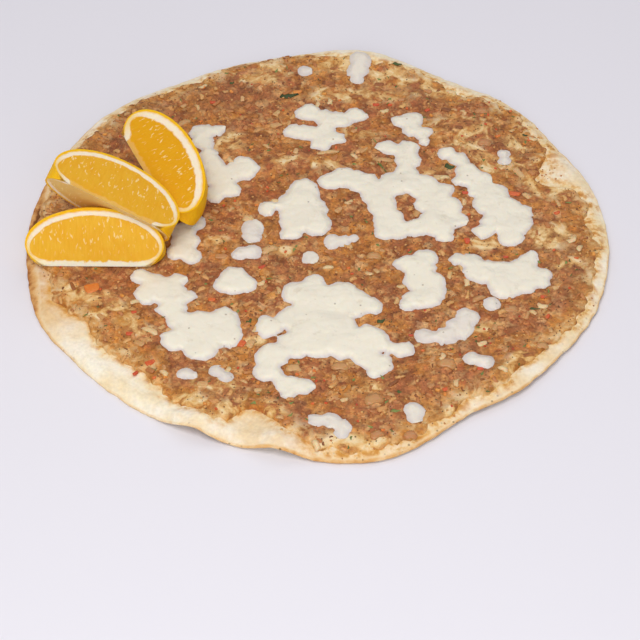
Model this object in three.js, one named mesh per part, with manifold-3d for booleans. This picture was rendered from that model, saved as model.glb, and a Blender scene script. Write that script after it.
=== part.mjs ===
// Lahmacun: a thin round flatbread baked with a minced-meat topping, with patches of
// melted white cheese and three lemon wedges fanned out on it.
// Millimetres, +Z up. The origin is the middle of the flat underside and -Y is the front.

import * as THREE from "three";
import { mergeVertices } from "three/addons/utils/BufferGeometryUtils.js";
import Module from "manifold-3d";

const wasm = await Module();
wasm.setup();

// Driving sizes of the flatbread
const BREAD_RADIUS = 135;
const DOUGH_THICKNESS = 2.8;
const EDGE_THICKNESS = 1.3;
const LIP_HEIGHT = 0.9; // the bare rim is puffed by this much
const LIP_SHARE = 0.962; // share of the radius where the rim is highest
const LIP_WIDTH = 0.022;
const FLAT_SHARE = 0.72; // inside this share of the radius the bread lies flat
const BREAD_SIDES = 96;
const TOP_SHARES = [FLAT_SHARE, 0.79, 0.85, 0.9, 0.935, 0.962, 0.985, 1]; // rings of the upper face
const UNDER_SHARES = [FLAT_SHARE, 0.82, 0.9, 0.96, 0.993]; // rings of the underside

// Uneven outline and ripples of the rim: at an angle in degrees, as wide as, by millimetres
const RIM_BULGES = [
  { at: -80, wide: 13, by: 5 },
  { at: 82, wide: 12, by: 1.5 },
  { at: 57, wide: 12, by: -3 },
  { at: 117, wide: 14, by: -2.5 },
  { at: 27, wide: 9, by: -3 },
  { at: -40, wide: 13, by: -3 },
  { at: -61, wide: 10, by: -5 },
  { at: -108, wide: 16, by: -1 },
  { at: -140, wide: 24, by: -2.5 },
  { at: -155, wide: 10, by: 2.5 },
];
const RIM_LIFTS = [
  { at: -113, wide: 5, by: 5.5 },
  { at: -97, wide: 4.5, by: 5 },
  { at: -50, wide: 26, by: 2.6 },
  { at: -8, wide: 12, by: 2 },
  { at: 22, wide: 10, by: 1.2 },
  { at: 48, wide: 9, by: 2.2 },
  { at: 80, wide: 13, by: 5 },
  { at: 112, wide: 9, by: 1.5 },
  { at: 142, wide: 12, by: 2.4 },
];

// Bare dough between the topping and the edge
const BARE_RIM = 5.5;
const BARE_PATCHES = [
  { at: -150, wide: 16, by: 9.5 },
  { at: -127, wide: 13, by: 8 },
  { at: -102, wide: 6.5, by: 14 },
  { at: -40, wide: 8, by: 2.5 },
  { at: 2, wide: 4, by: 3.5 },
  { at: 19, wide: 5, by: 19 },
  { at: 56, wide: 5, by: 3.5 },
  { at: 78, wide: 4, by: 3.5 },
  { at: 104, wide: 9, by: -3.5 },
];
const BARE_LEAST = 2.5;
const RAGGED = 1.6; // how far the edge of the topping wanders
const MINCE_SIDES = 180;

// Minced topping
const GAP = 0.3; // between layers that lie on each other
const MINCE_THICKNESS = 1.7;
const MINCE_LEAST = 0.8;
const MINCE_THINNING = 0.35; // share of the thickness lost towards its edge
const THINNING_SHARES = [0.82, 0.95]; // shares of the radius between which it is lost
const MINCE_WAVES = [
  { size: 30, by: 0.5 },
  { size: 14, by: 0.6 },
  { size: 8, by: 0.6 },
];
const GRID = 9; // spacing of the points that carry the relief
const FINENESS = 0.13; // facets flatter than this are joined
const SPARE = 12; // solids that only cut others reach this far past them
const CEILING = 50;
const CELLAR = -20;

// Raised blisters in the bread, under the topping: place, half-widths and height
const BLISTERS = [
  { x: -30, y: 108, a: 20, b: 9, by: 1.8 },
  { x: 74, y: 70, a: 19, b: 12, by: 1.7 },
  { x: -4, y: 46, a: 24, b: 6, by: 1.6 },
  { x: -40, y: 60, a: 8, b: 9, by: 1.9 },
  { x: 30, y: 96, a: 20, b: 8, by: 1.3 },
  { x: -86, y: -58, a: 17, b: 9, by: 1.5 },
  { x: 108, y: -8, a: 12, b: 13, by: 1.3 },
  { x: -34, y: -108, a: 18, b: 7, by: 1.5 },
  { x: 55, y: -88, a: 14, b: 10, by: 1.2 },
  { x: 20, y: 68, a: 9, b: 8, by: 1.4 },
];

// Melted cheese: each patch is the spread of a few shreds, [x, y, radius]
const CHEESE_THICKNESS = 1.9;
const CHEESE_EDGE = 0.7;
const CHEESE_DOME = 6; // the patch reaches its full thickness this far in
const CHEESE_SIDES = 10;
const CHEESE_RAGGED = 0.12;
const CHEESE_SHIFT = -2.5; // all the cheese lies this much further to the front
const CHEESE_PATCHES = [
  [[-56, 72, 7], [-49, 74, 5], [-55, 64, 6], [-53, 56, 5], [-50, 48, 6.5], [-36, 45, 8.5], [-45, 38, 9],
    [-42, 30, 7], [-49, 26, 5.5]],
  [[-57, 7, 5.5], [-62, 1, 6.5], [-60, -6, 7], [-64, -13, 6], [-57, -16, 5.5]],
  [[-80, -29, 5], [-73, -33, 8], [-63, -31, 5], [-76, -40, 7], [-66, -41, 8.5], [-58, -42, 5],
    [-64, -50, 7], [-61, -57, 6.5], [-49, -62, 13], [-42, -57, 9], [-40, -66, 8], [-51, -72, 9],
    [-42, -51, 4], [-63, -67, 5], [-63, -71, 5]],
  [[-37, -32, 9], [-41, -34, 6], [-33, -33, 6.5]],
  [[-30, 4, 6], [-30, -2, 5.5]],
  [[-35, -14, 4.5], [-30, -13, 5]],
  [[-7, 28, 9], [-11, 20, 8], [-4, 17, 9.5], [-10, 8, 9], [0, 6, 8.5], [-12, 1, 6], [-23, 17, 5.5]],
  [[7, -6, 5], [12, -5, 4], [17, -3, 2.5]],
  [[-3, -17, 4.5]],
  [[6, 36, 6], [13, 38, 7.5], [21, 36, 8], [34, 60, 5.5], [43, 59, 7], [44, 51, 6], [42, 42, 6.5],
    [38, 34, 9], [29, 28, 9], [49, 32, 9], [58, 28, 7.5], [55, 20, 9], [63, 18, 6], [31, 18, 7],
    [33, 8, 8], [36, 2, 7], [47, 4, 6.5], [56, 6, 9], [65, 8, 5.5], [30, -1, 4.5], [59, -2, 5]],
  [[62, 56, 4.5], [68, 51, 5], [72, 43, 6.5], [70, 36, 6], [79, 37, 5.5], [77, 29, 6.5], [84, 26, 7.5],
    [80, 18, 7], [89, 18, 7.5], [96, 15, 6], [84, 8, 8.5], [94, 6, 7], [77, 1, 5.5], [89, -3, 6]],
  [[-5, 87, 6.5], [3, 83, 6.5], [11, 82, 7], [18, 85, 6], [22, 84, 4], [-12, 73, 5], [-5, 72, 6.5],
    [3, 72, 7], [9, 67, 5], [2, 64, 6]],
  [[41, 80, 5], [47, 82, 5.5], [46, 75, 6], [51, 71, 5], [52, 65, 3.5]],
  [[22, 126, 6.5], [20, 119, 6], [20, 113, 4]],
  [[-6, 120, 4.3]],
  [[90, 56, 3.6], [90, 51, 3.6]],
  [[40, -20, 6], [49, -17, 6], [47, -24, 7], [46, -32, 8], [52, -33, 6.5], [48, -42, 9], [41, -47, 4.5],
    [53, -40, 6]],
  [[64, -18, 4.5], [70, -19, 6], [75, -26, 8.5], [84, -27, 9], [93, -25, 8], [96, -18, 5.5],
    [99, -31, 6.5], [84, -36, 8], [92, -35, 6], [102, -27, 4.5]],
  [[78, -47, 4.8]],
  [[67, -55, 6], [63, -62, 6.5], [56, -67, 6], [48, -66, 5.3]],
  [[67, -81, 4.3], [72, -83, 4.7]],
  [[-1, -33, 5.5], [-8, -40, 8.5], [1, -45, 10], [11, -40, 9], [16, -47, 9], [23, -48, 6],
    [-21, -60, 6.5], [-12, -55, 7], [-4, -60, 10], [8, -60, 9], [-10, -72, 9], [1, -71, 10],
    [13, -70, 11], [23, -69, 9.5], [38, -75, 5.5], [32, -74, 4], [-20, -78, 8], [-21, -88, 6.5],
    [-13, -95, 6], [-6, -96, 5.5], [-12, -101, 4], [22, -80, 6.5], [28, -83, 6], [25, -88, 4.5]],
  [[-57, -89, 3.8], [-54, -90, 3.4]],
  [[-43, -87, 4.2], [-39, -91, 4]],
  [[0, -116, 4.3], [6, -116, 4.8], [11, -119, 4.3], [10, -123, 3.3]],
  [[41, -110, 4.8], [41, -114, 4]],
];

// Lemon wedges. Each is a sixth of a lemon, with its core edge along its own X axis.
// It is placed by the middle of that edge, turned by its heading, and rolled back by its tilt.
// Its sizes are the angle between its cut faces, half its length, and its depth to the peel.
const LEMON_SHOULDER = 10; // the wedge is longest this far from the core edge
const LEMON_END_ROUND = 15.7;
const LEMON_STEPS = { round: 22, turn: 7 };
const LEMON_PRESS = 0.5; // room left round a wedge where it presses into the cheese or its neighbour
const WEDGES = [
  {
    name: "lemon_wedge_front",
    ...{ x: -100.7, y: -25.5, heading: -1, tilt: 0, pitch: -0.5 },
    ...{ angle: 59, half: 31.5, depth: 27 },
  },
  {
    name: "lemon_wedge_back",
    ...{ x: -80.2, y: 20.3, heading: -62.8, tilt: 40, pitch: 7.8 },
    ...{ angle: 60, half: 33.2, depth: 26.3 },
  },
  {
    name: "lemon_wedge_middle",
    ...{ x: -92.1, y: -15.1, heading: -12.8, tilt: 62.5, pitch: 24.6 },
    ...{ angle: 61, half: 30.8, depth: 29.8 },
  },
];

// Diced vegetables baked into the topping, on a golden-angle spiral
const DICE_SIZES = [
  [3.6, 3, 2],
  [4.8, 2, 1],
  [3, 2.6, 1.8],
  [4.2, 3.4, 1.4],
];
const DICE_LEAN = 12; // degrees either way
const DICE_PROUD = 0.25; // how far the middle of a die stands above the topping
const DICE_STEPS = 170;
const DICE_REACH = 116;
const DICE_APART = 8;
const DICE_CLEAR = 4.5; // how far they keep from the cheese
const LEMON_CORNER = { x: -48, low: -32, high: 74 }; // none lie under the lemon
const GOLDEN_ANGLE = 137.508;

const COLOURS = {
  dough: 0xecd9b4,
  mince: 0xa9744a,
  cheese: 0xefe9dc,
  lemon: 0xf2b92a,
};

const radians = THREE.MathUtils.degToRad;
const degrees = THREE.MathUtils.radToDeg;
const smooth = (low, high, x) => THREE.MathUtils.smoothstep(x, low, high);

// A bell round the circle, angles in degrees
function bell(angle, at, wide) {
  const away = ((((angle - at + 180) % 360) + 360) % 360) - 180;
  return Math.exp(-((away / wide) ** 2));
}

const bells = (angle, list) => list.reduce((sum, b) => sum + b.by * bell(angle, b.at, b.wide), 0);

// A repeatable random number from 0 to 1 for a pair of whole numbers
function chance(i, j, seed) {
  let h = Math.imul(i, 374761393) ^ Math.imul(j, 668265263) ^ Math.imul(seed, 69069);
  h = Math.imul(h ^ (h >>> 13), 1274126177);
  return ((h ^ (h >>> 16)) >>> 0) / 4294967296;
}

// Smooth random waves from -1 to 1, about as wide as size
function waves(x, y, size, seed) {
  const [u, v] = [x / size, y / size];
  const [i, j] = [Math.floor(u), Math.floor(v)];
  const [s, t] = [smooth(0, 1, u - i), smooth(0, 1, v - j)];
  const low = THREE.MathUtils.lerp(chance(i, j, seed), chance(i + 1, j, seed), s);
  const high = THREE.MathUtils.lerp(chance(i, j + 1, seed), chance(i + 1, j + 1, seed), s);
  return 2 * THREE.MathUtils.lerp(low, high, t) - 1;
}

const rimRadius = (angle) => BREAD_RADIUS + bells(angle, RIM_BULGES);
const undersideZ = (angle, share) => bells(angle, RIM_LIFTS) * smooth(FLAT_SHARE, 1.05, share);

function doughThickness(share) {
  const taper = smooth(0.95, 1, share) * (DOUGH_THICKNESS - EDGE_THICKNESS);
  return DOUGH_THICKNESS - taper + LIP_HEIGHT * Math.exp(-(((share - LIP_SHARE) / LIP_WIDTH) ** 2));
}

const breadTopZ = (angle, share) => undersideZ(angle, share) + doughThickness(share);

function breadTopAt(x, y) {
  const angle = degrees(Math.atan2(y, x));
  return breadTopZ(angle, Math.min(1, Math.hypot(x, y) / rimRadius(angle)));
}

// three.js geometry to a manifold solid, and back
function solidOf(geometry) {
  const bare = geometry.clone();
  bare.deleteAttribute("normal");
  bare.deleteAttribute("uv");
  const merged = mergeVertices(bare, 1e-4);
  return new wasm.Manifold(new wasm.Mesh({
    numProp: 3,
    vertProperties: merged.attributes.position.array,
    triVerts: new Uint32Array(merged.index.array),
  }));
}

function geometryOf(solid) {
  const mesh = solid.getMesh();
  return indexed(mesh.vertProperties, mesh.triVerts);
}

function indexed(positions, faces) {
  const geometry = new THREE.BufferGeometry();
  geometry.setAttribute("position", new THREE.BufferAttribute(new Float32Array(positions), 3));
  geometry.setIndex(new THREE.BufferAttribute(new Uint32Array(faces), 1));
  geometry.computeVertexNormals();
  return geometry;
}

// A closed round body from rings, listed from the bottom's middle outwards and over the top.
// Each ring gives [radius, z] for an angle in degrees.
function ringSolid(rings, bottomZ, topZ) {
  const positions = [0, 0, bottomZ];
  const faces = [];
  for (const ring of rings)
    for (let k = 0; k < BREAD_SIDES; k++) {
      const angle = (360 * k) / BREAD_SIDES - 180;
      const [r, z] = ring(angle);
      positions.push(r * Math.cos(radians(angle)), r * Math.sin(radians(angle)), z);
    }
  positions.push(0, 0, topZ);
  const last = positions.length / 3 - 1;
  const at = (ring, k) => 1 + ring * BREAD_SIDES + (k % BREAD_SIDES);
  for (let k = 0; k < BREAD_SIDES; k++) {
    faces.push(0, at(0, k + 1), at(0, k));
    for (let ring = 0; ring + 1 < rings.length; ring++) {
      faces.push(at(ring, k), at(ring, k + 1), at(ring + 1, k));
      faces.push(at(ring, k + 1), at(ring + 1, k + 1), at(ring + 1, k));
    }
    faces.push(last, at(rings.length - 1, k), at(rings.length - 1, k + 1));
  }
  return indexed(positions, faces);
}

function flatbread() {
  const under = UNDER_SHARES.map((share) => (a) => [share * rimRadius(a), undersideZ(a, share)]);
  const top = TOP_SHARES.map((share) => (a) => [share * rimRadius(a), breadTopZ(a, share)]);
  return ringSolid([...under, ...top.reverse()], 0, breadTopZ(0, 0));
}

// Everything above the bread, for cutting the underside of the topping to the bread
function spaceAboveBread() {
  const floor = TOP_SHARES.map((share) => (a) => [share * rimRadius(a), breadTopZ(a, share) + GAP]);
  const out = (a) => [rimRadius(a) + SPARE, breadTopZ(a, 1) + GAP];
  const up = (a) => [rimRadius(a) + SPARE, CEILING];
  return ringSolid([...floor, out, up], breadTopZ(0, 0) + GAP, CEILING);
}

// A slab between two height functions, carried by a grid of equal triangles
function gridSlab(lowZ, highZ) {
  const half = Math.ceil((BREAD_RADIUS + SPARE) / GRID);
  const rowStep = (GRID * Math.sqrt(3)) / 2;
  const rows = 2 * Math.ceil((BREAD_RADIUS + SPARE) / rowStep) + 1;
  const columns = 2 * half + 1;
  const positions = [];
  for (const height of [lowZ, highZ])
    for (let j = 0; j < rows; j++)
      for (let i = 0; i < columns; i++) {
        const x = (i - half + (j % 2) / 2) * GRID;
        const y = (j - (rows - 1) / 2) * rowStep;
        positions.push(x, y, height(x, y));
      }
  const at = (i, j, upper) => i + j * columns + (upper ? rows * columns : 0);
  const faces = [];
  for (let j = 0; j + 1 < rows; j++)
    for (let i = 0; i + 1 < columns; i++) {
      const even = j % 2 === 0;
      const [a, b, c, d] = [[i, j], [i + 1, j], [i, j + 1], [i + 1, j + 1]];
      const triangles = even ? [[a, b, c], [b, d, c]] : [[a, b, d], [a, d, c]];
      for (const t of triangles) {
        faces.push(...t.map(([p, q]) => at(p, q, true)));
        faces.push(...t.map(([p, q]) => at(p, q, false)).reverse());
      }
    }
  const wall = (p, q) => {
    const [lowP, lowQ, highP, highQ] = [at(...p, false), at(...q, false), at(...p, true), at(...q, true)];
    faces.push(lowP, lowQ, highP, lowQ, highQ, highP);
  };
  for (let i = 0; i + 1 < columns; i++) {
    wall([i, 0], [i + 1, 0]);
    wall([i + 1, rows - 1], [i, rows - 1]);
  }
  for (let j = 0; j + 1 < rows; j++) {
    wall([columns - 1, j], [columns - 1, j + 1]);
    wall([0, j + 1], [0, j]);
  }
  return solidOf(indexed(positions, faces));
}

// A tall upright block on an outline of [x, y] points
function block(outline) {
  const shape = new THREE.Shape(outline.map(([x, y]) => new THREE.Vector2(x, y)));
  const geometry = new THREE.ExtrudeGeometry(shape, { depth: CEILING - CELLAR, bevelEnabled: false });
  return solidOf(geometry.translate(0, 0, CELLAR));
}

// Half of a lemon's lengthwise section, from one end of the core edge to the other
function wedgeOutline({ half, depth }) {
  const points = [];
  const start = -Math.asin(LEMON_SHOULDER / LEMON_END_ROUND);
  for (let k = 0; k <= LEMON_STEPS.round; k++) {
    const t = start + ((Math.PI - 2 * start) * k) / LEMON_STEPS.round;
    const reach = t < 0 || t > Math.PI ? LEMON_END_ROUND : depth - LEMON_SHOULDER;
    points.push([half * Math.cos(t), LEMON_SHOULDER + reach * Math.sin(t)]);
  }
  return points.map(([u, v]) => [u, Math.max(0, v)]);
}

// Lemon wedge: the section swept about the core edge, with a flat cut face at both ends of the sweep
function lemonWedge(wedge) {
  const outline = wedgeOutline(wedge);
  const turns = LEMON_STEPS.turn;
  const positions = [];
  for (let turn = 0; turn <= turns; turn++)
    for (const [u, v] of outline) {
      const angle = radians((wedge.angle * turn) / turns);
      positions.push(u, v * Math.cos(angle), v * Math.sin(angle));
    }
  const n = outline.length;
  const faces = [];
  for (let turn = 0; turn < turns; turn++)
    for (let k = 0; k + 1 < n; k++) {
      const [a, b, c, d] = [k, k + 1, k + n, k + n + 1].map((q) => q + turn * n);
      faces.push(a, b, c, b, d, c);
    }
  for (let k = 1; k + 1 < n; k++) {
    faces.push(0, k + 1, k);
    faces.push(turns * n, turns * n + k, turns * n + k + 1);
  }
  return withoutClosedFaces(mergeVertices(indexed(positions, faces).deleteAttribute("normal"), 1e-3));
}

// Drops the triangles that closed up when the points on the core edge became one
function withoutClosedFaces(geometry) {
  const faces = [];
  const index = geometry.index.array;
  for (let k = 0; k < index.length; k += 3) {
    const [a, b, c] = index.slice(k, k + 3);
    if (a !== b && b !== c && c !== a) faces.push(a, b, c);
  }
  return indexed(geometry.attributes.position.array, faces);
}

// Height of the minced topping: even thickness, coarse grain, and blisters in the bread under it
function minceTopZ(x, y) {
  const relief = MINCE_WAVES.reduce((sum, w, k) => sum + w.by * waves(x, y, w.size, k + 1), 0);
  const blisters = BLISTERS.reduce(
    (sum, b) => sum + b.by * Math.exp(-(((x - b.x) / b.a) ** 2) - ((y - b.y) / b.b) ** 2), 0);
  const angle = degrees(Math.atan2(y, x));
  const share = Math.hypot(x, y) / rimRadius(angle);
  const thin = 1 - MINCE_THINNING * smooth(...THINNING_SHARES, share);
  const thickness = Math.max(MINCE_LEAST, MINCE_THICKNESS * thin + relief + blisters);
  return breadTopAt(x, y) + GAP + thickness;
}

function minceOutline() {
  const points = [];
  for (let k = 0; k < MINCE_SIDES; k++) {
    const angle = (360 * k) / MINCE_SIDES - 180;
    const wander = RAGGED * (waves(angle, 0, 5, 11) + 0.6 * waves(angle, 9, 2.5, 12));
    const r = rimRadius(angle) - Math.max(BARE_LEAST, BARE_RIM + bells(angle, BARE_PATCHES) + wander);
    points.push([r * Math.cos(radians(angle)), r * Math.sin(radians(angle))]);
  }
  return points;
}

// How far a point lies inside the nearest shred of cheese, negative outside
function insideCheese(x, y, patch) {
  return Math.max(...patch.map(([cx, cy, r]) => r - Math.hypot(x - cx, y - cy - CHEESE_SHIFT)));
}

const allShreds = CHEESE_PATCHES.flat();

function cheeseTopZ(x, y) {
  const dome = smooth(-1, CHEESE_DOME, insideCheese(x, y, allShreds));
  return minceTopZ(x, y) + GAP + CHEESE_EDGE + (CHEESE_THICKNESS - CHEESE_EDGE) * dome;
}

function shred([cx, cy, r], seed) {
  const outline = [];
  for (let k = 0; k < CHEESE_SIDES; k++) {
    const angle = (2 * Math.PI * k) / CHEESE_SIDES;
    const reach = r * (1 + CHEESE_RAGGED * (2 * chance(k, seed, 21) - 1));
    outline.push([cx + reach * Math.cos(angle), cy + CHEESE_SHIFT + reach * Math.sin(angle)]);
  }
  return block(outline);
}

const largest = (solid) => solid.simplify(FINENESS).decompose().sort((a, b) => b.volume() - a.volume())[0];

function cheesePatch(patch, index, slab, cutters) {
  const spread = patch.map((s, k) => shred(s, 50 * index + k)).reduce((all, one) => all.add(one));
  return largest(cutters.reduce((solid, cutter) => solid.subtract(cutter), spread.intersect(slab)));
}

const underLemon = (x, y) => x < LEMON_CORNER.x && y > LEMON_CORNER.low && y < LEMON_CORNER.high;

// Places of the diced vegetables, kept off the cheese, the lemon and the rim
function diceSpots() {
  const spots = [];
  for (let k = 0; k < DICE_STEPS; k++) {
    const r = DICE_REACH * Math.sqrt((k + 0.5) / DICE_STEPS);
    const angle = radians(GOLDEN_ANGLE * k);
    const [x, y] = [r * Math.cos(angle), r * Math.sin(angle)];
    const clear = insideCheese(x, y, allShreds) < -DICE_CLEAR && !underLemon(x, y);
    const apart = spots.every((s) => Math.hypot(s.x - x, s.y - y) > DICE_APART);
    if (clear && apart) spots.push({ x, y, k });
  }
  return spots;
}

// One die, turned and leaning at random, sunk by half into the topping
function die({ x, y, k }) {
  const geometry = new THREE.BoxGeometry(...DICE_SIZES[k % DICE_SIZES.length]);
  geometry.rotateX(radians(DICE_LEAN * (2 * chance(k, 4, 32) - 1)));
  geometry.rotateZ(radians(360 * chance(k, 3, 31)));
  return solidOf(geometry.translate(x, y, minceTopZ(x, y) + DICE_PROUD));
}

// Assembly
const lahmacun = new THREE.Group();

function addMesh(name, geometry, colour, roughness) {
  const material = new THREE.MeshStandardMaterial({ color: colour, roughness, metalness: 0 });
  const mesh = new THREE.Mesh(geometry, material);
  mesh.name = name;
  lahmacun.add(mesh);
  return mesh;
}

addMesh("flatbread", flatbread(), COLOURS.dough, 0.85);

const minceSlab = gridSlab(() => CELLAR + GAP, minceTopZ);
const mince = minceSlab.intersect(solidOf(spaceAboveBread())).intersect(block(minceOutline()));
const vegetables = diceSpots().map(die).reduce((all, one) => all.add(one));
addMesh("minced_topping", geometryOf(largest(mince.add(vegetables))), COLOURS.mince, 0.6);

// Puts a wedge down on the topping, by the point of it that touches first
function place(object, wedge) {
  object.rotation.set(-radians(wedge.tilt), radians(wedge.pitch), radians(wedge.heading), "ZYX");
  object.position.set(wedge.x, wedge.y, 0);
  object.updateMatrix();
  const point = new THREE.Vector3();
  const positions = lemonWedge(wedge).attributes.position;
  let rest = 0;
  for (let k = 0; k < positions.count; k++) {
    point.fromBufferAttribute(positions, k).applyMatrix4(object.matrix);
    rest = Math.max(rest, minceTopZ(point.x, point.y) + GAP - point.z);
  }
  object.position.z = rest;
  object.updateMatrix();
}

// The room that a placed wedge takes up: each of its faces moved out by a little
function roomFor(wedge) {
  const slope = radians(wedge.angle / 2);
  const back = LEMON_PRESS / Math.sin(slope);
  const grown = lemonWedge({
    angle: wedge.angle,
    half: wedge.half + LEMON_PRESS,
    depth: wedge.depth + LEMON_PRESS + back,
  });
  const placed = new THREE.Object3D();
  place(placed, wedge);
  grown.translate(0, -back * Math.cos(slope), -back * Math.sin(slope));
  return solidOf(grown.applyMatrix4(placed.matrix));
}

const rooms = WEDGES.map(roomFor);

const cheeseSlab = gridSlab((x, y) => minceTopZ(x, y) + GAP, cheeseTopZ);
CHEESE_PATCHES.forEach((patch, index) => {
  const name = `cheese_patch_${String(index + 1).padStart(2, "0")}`;
  addMesh(name, geometryOf(cheesePatch(patch, index, cheeseSlab, rooms)), COLOURS.cheese, 0.45);
});

// The last wedge leans on the two before it, and gives way where it presses on them
WEDGES.forEach((wedge, index) => {
  const mesh = addMesh(wedge.name, lemonWedge(wedge), COLOURS.lemon, 0.35);
  place(mesh, wedge);
  if (index < 2) return;
  const pressed = rooms.slice(0, index).reduce(
    (solid, room) => solid.subtract(room), solidOf(mesh.geometry.applyMatrix4(mesh.matrix)));
  mesh.geometry = geometryOf(largest(pressed));
  mesh.position.set(0, 0, 0);
  mesh.rotation.set(0, 0, 0);
});

export default lahmacun;
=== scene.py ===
import math

import bmesh
import bpy
import numpy as np
from mathutils import Matrix, Vector
from mathutils.bvhtree import BVHTree
from mathutils.kdtree import KDTree


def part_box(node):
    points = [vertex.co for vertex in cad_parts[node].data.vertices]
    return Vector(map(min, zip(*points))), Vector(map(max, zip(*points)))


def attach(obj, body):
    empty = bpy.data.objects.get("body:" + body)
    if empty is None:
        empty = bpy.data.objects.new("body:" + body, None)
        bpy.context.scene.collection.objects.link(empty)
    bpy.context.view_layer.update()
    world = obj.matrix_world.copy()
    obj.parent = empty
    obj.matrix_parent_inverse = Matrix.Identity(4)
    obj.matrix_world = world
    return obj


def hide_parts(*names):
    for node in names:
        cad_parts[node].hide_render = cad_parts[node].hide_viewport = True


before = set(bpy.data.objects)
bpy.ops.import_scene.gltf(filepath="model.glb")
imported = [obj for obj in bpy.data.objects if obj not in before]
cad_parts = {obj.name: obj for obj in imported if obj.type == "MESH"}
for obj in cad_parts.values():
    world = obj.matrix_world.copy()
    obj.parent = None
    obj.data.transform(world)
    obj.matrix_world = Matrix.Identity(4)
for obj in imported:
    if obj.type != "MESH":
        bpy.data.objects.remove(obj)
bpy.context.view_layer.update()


# Flatbread
# A thin round of wheat dough, rolled out by hand and baked fast on hot stone. Its bare rim is cream
# and floury, puffed where steam lifted it, and toasted along the thin edge. It carries the rest.
MM = 0.001
SKY = 0.1  # rays start this far above and below
KNOTS = 256  # random values along each side of a table that repeats
BREAD_HALF = 0.135
BREAD_SIDES = 96  # sides of the frame's round
BREAD_TURNS = 900  # points round the finished one
BREAD_TOP_SHARES = np.concatenate([np.linspace(0.06, 0.8, 14), np.linspace(0.81, 0.994, 46)])
BREAD_UNDER_SHARES = np.concatenate([np.linspace(0.08, 0.7, 9), np.linspace(0.73, 0.99, 17)])
JUST_INSIDE = 0.9995  # rays keep within this share of the radius
EDGE_ROUND = 0.6 * MM
EDGE_STEPS = 6
RIM_SOFTENING = 8  # passes that round off the frame's flat facets
RIM_LEAST = 1.6 * MM  # bare dough left outside the topping
STAINED_SIDES = [  # angle in degrees, width, how much further oil and crumbs reach out: in mm
    (22, 26, 15),
    (-80, 18, 11),
    (75, 40, 4),
    (160, 20, 4),
]
TOASTED_SIDES = [  # angle in degrees, width, strength: where the stone was hottest
    (178, 24, 1.3),
    (-160, 9, 0.5),
    (-47, 20, 0.3),
    (-15, 12, 0.2),
    (-85, 24, 0.7),
    (28, 14, 0.35),
]


def tree_of(*names):
    """Pieces of the frame as one search tree for rays."""
    points = []
    faces = []
    for name in names:
        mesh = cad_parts[name].data
        start = len(points)
        points += [v.co.copy() for v in mesh.vertices]
        faces += [[start + k for k in p.vertices] for p in mesh.polygons]
    return BVHTree.FromPolygons(points, faces)


def cast(tree, x, y, side=1):
    """Height at which an upright ray from above (1) or below (-1) meets a tree, or None."""
    hit = tree.ray_cast(Vector((x, y, side * SKY)), Vector((0, 0, -side)))[0]
    return None if hit is None else hit.z


def reach(tree, angle, low, high):
    """Distance from the middle to the edge of a tree, found by halving."""
    for _ in range(14):
        middle = (low + high) / 2
        inside = cast(tree, middle * math.cos(angle), middle * math.sin(angle)) is not None
        low, high = (middle, high) if inside else (low, middle)
    return low


def finer_ring(values, count):
    """The same round of values with more points, smooth between them."""
    spectrum = np.fft.rfft(values)
    padded = np.zeros(count // 2 + 1, complex)
    padded[: len(spectrum)] = spectrum
    return np.fft.irfft(padded, count) * count / len(values)


def ease(low, high, x):
    """Smooth step from 0 at low to 1 at high."""
    t = np.clip((np.asarray(x, float) - low) / (high - low), 0, 1)
    return t * t * (3 - 2 * t)


def waves(x, y, size, seed):
    """Smooth random waves from -1 to 1, about as wide as size."""
    knots = np.random.default_rng(seed).uniform(-1, 1, (KNOTS, KNOTS))
    u = (0.8 * x + 0.6 * y) / size
    v = (0.8 * y - 0.6 * x) / size
    i = np.floor(u).astype(int)
    j = np.floor(v).astype(int)
    s = ease(0, 1, u - i)
    t = ease(0, 1, v - j)
    i_next = (i + 1) % KNOTS
    j_next = (j + 1) % KNOTS
    i = i % KNOTS
    j = j % KNOTS
    low = knots[i, j] * (1 - s) + knots[i_next, j] * s
    high = knots[i, j_next] * (1 - s) + knots[i_next, j_next] * s
    return low * (1 - t) + high * t


def lumps(x, y, size, seed):
    """Rounded lumps from 0 in the creases to 1 on top, about as wide as size."""
    rng = np.random.default_rng(seed)
    across, along = rng.uniform(0.05, 0.95, (2, KNOTS, KNOTS))
    tall = rng.uniform(0.45, 1, (KNOTS, KNOTS))
    u = x / size
    v = y / size
    i = np.floor(u).astype(int)
    j = np.floor(v).astype(int)
    best = np.zeros_like(u)
    for p in (-1, 0, 1):
        for q in (-1, 0, 1):
            a = (i + p) % KNOTS
            b = (j + q) % KNOTS
            away = (u - i - p - across[a, b]) ** 2 + (v - j - q - along[a, b]) ** 2
            best = np.maximum(best, tall[a, b] * (1 - 1.3 * away))
    return best


def bells(angle, places):
    """Sum of bells round the circle, each at an angle in degrees, with a width and a height."""
    away = [(np.degrees(angle) - at + 180) % 360 - 180 for at, _, _ in places]
    return sum(by * np.exp(-((a / wide) ** 2)) for a, (_, wide, by) in zip(away, places))


def ring_faces(rings, turns):
    """Quads between rings of points, listed ring after ring."""
    ring, turn = np.meshgrid(np.arange(rings - 1), np.arange(turns), indexing="ij")
    a = ring * turns + turn
    b = ring * turns + (turn + 1) % turns
    return np.stack([a, b, b + turns, a + turns], -1).reshape(-1, 4).tolist()


def make_piece(name, points, faces, **values):
    """A smooth mesh object at the origin, with named values on its points for its material."""
    mesh = bpy.data.meshes.new(name)
    mesh.from_pydata(np.asarray(points).tolist(), [], faces)
    mesh.polygons.foreach_set("use_smooth", np.ones(len(mesh.polygons), bool))
    for key, value in values.items():
        layer = mesh.attributes.new(key, "FLOAT", "POINT")
        layer.data.foreach_set("value", np.asarray(value, np.float32).ravel())
    mesh.update()
    piece = bpy.data.objects.new(name, mesh)
    bpy.context.scene.collection.objects.link(piece)
    return piece


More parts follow.
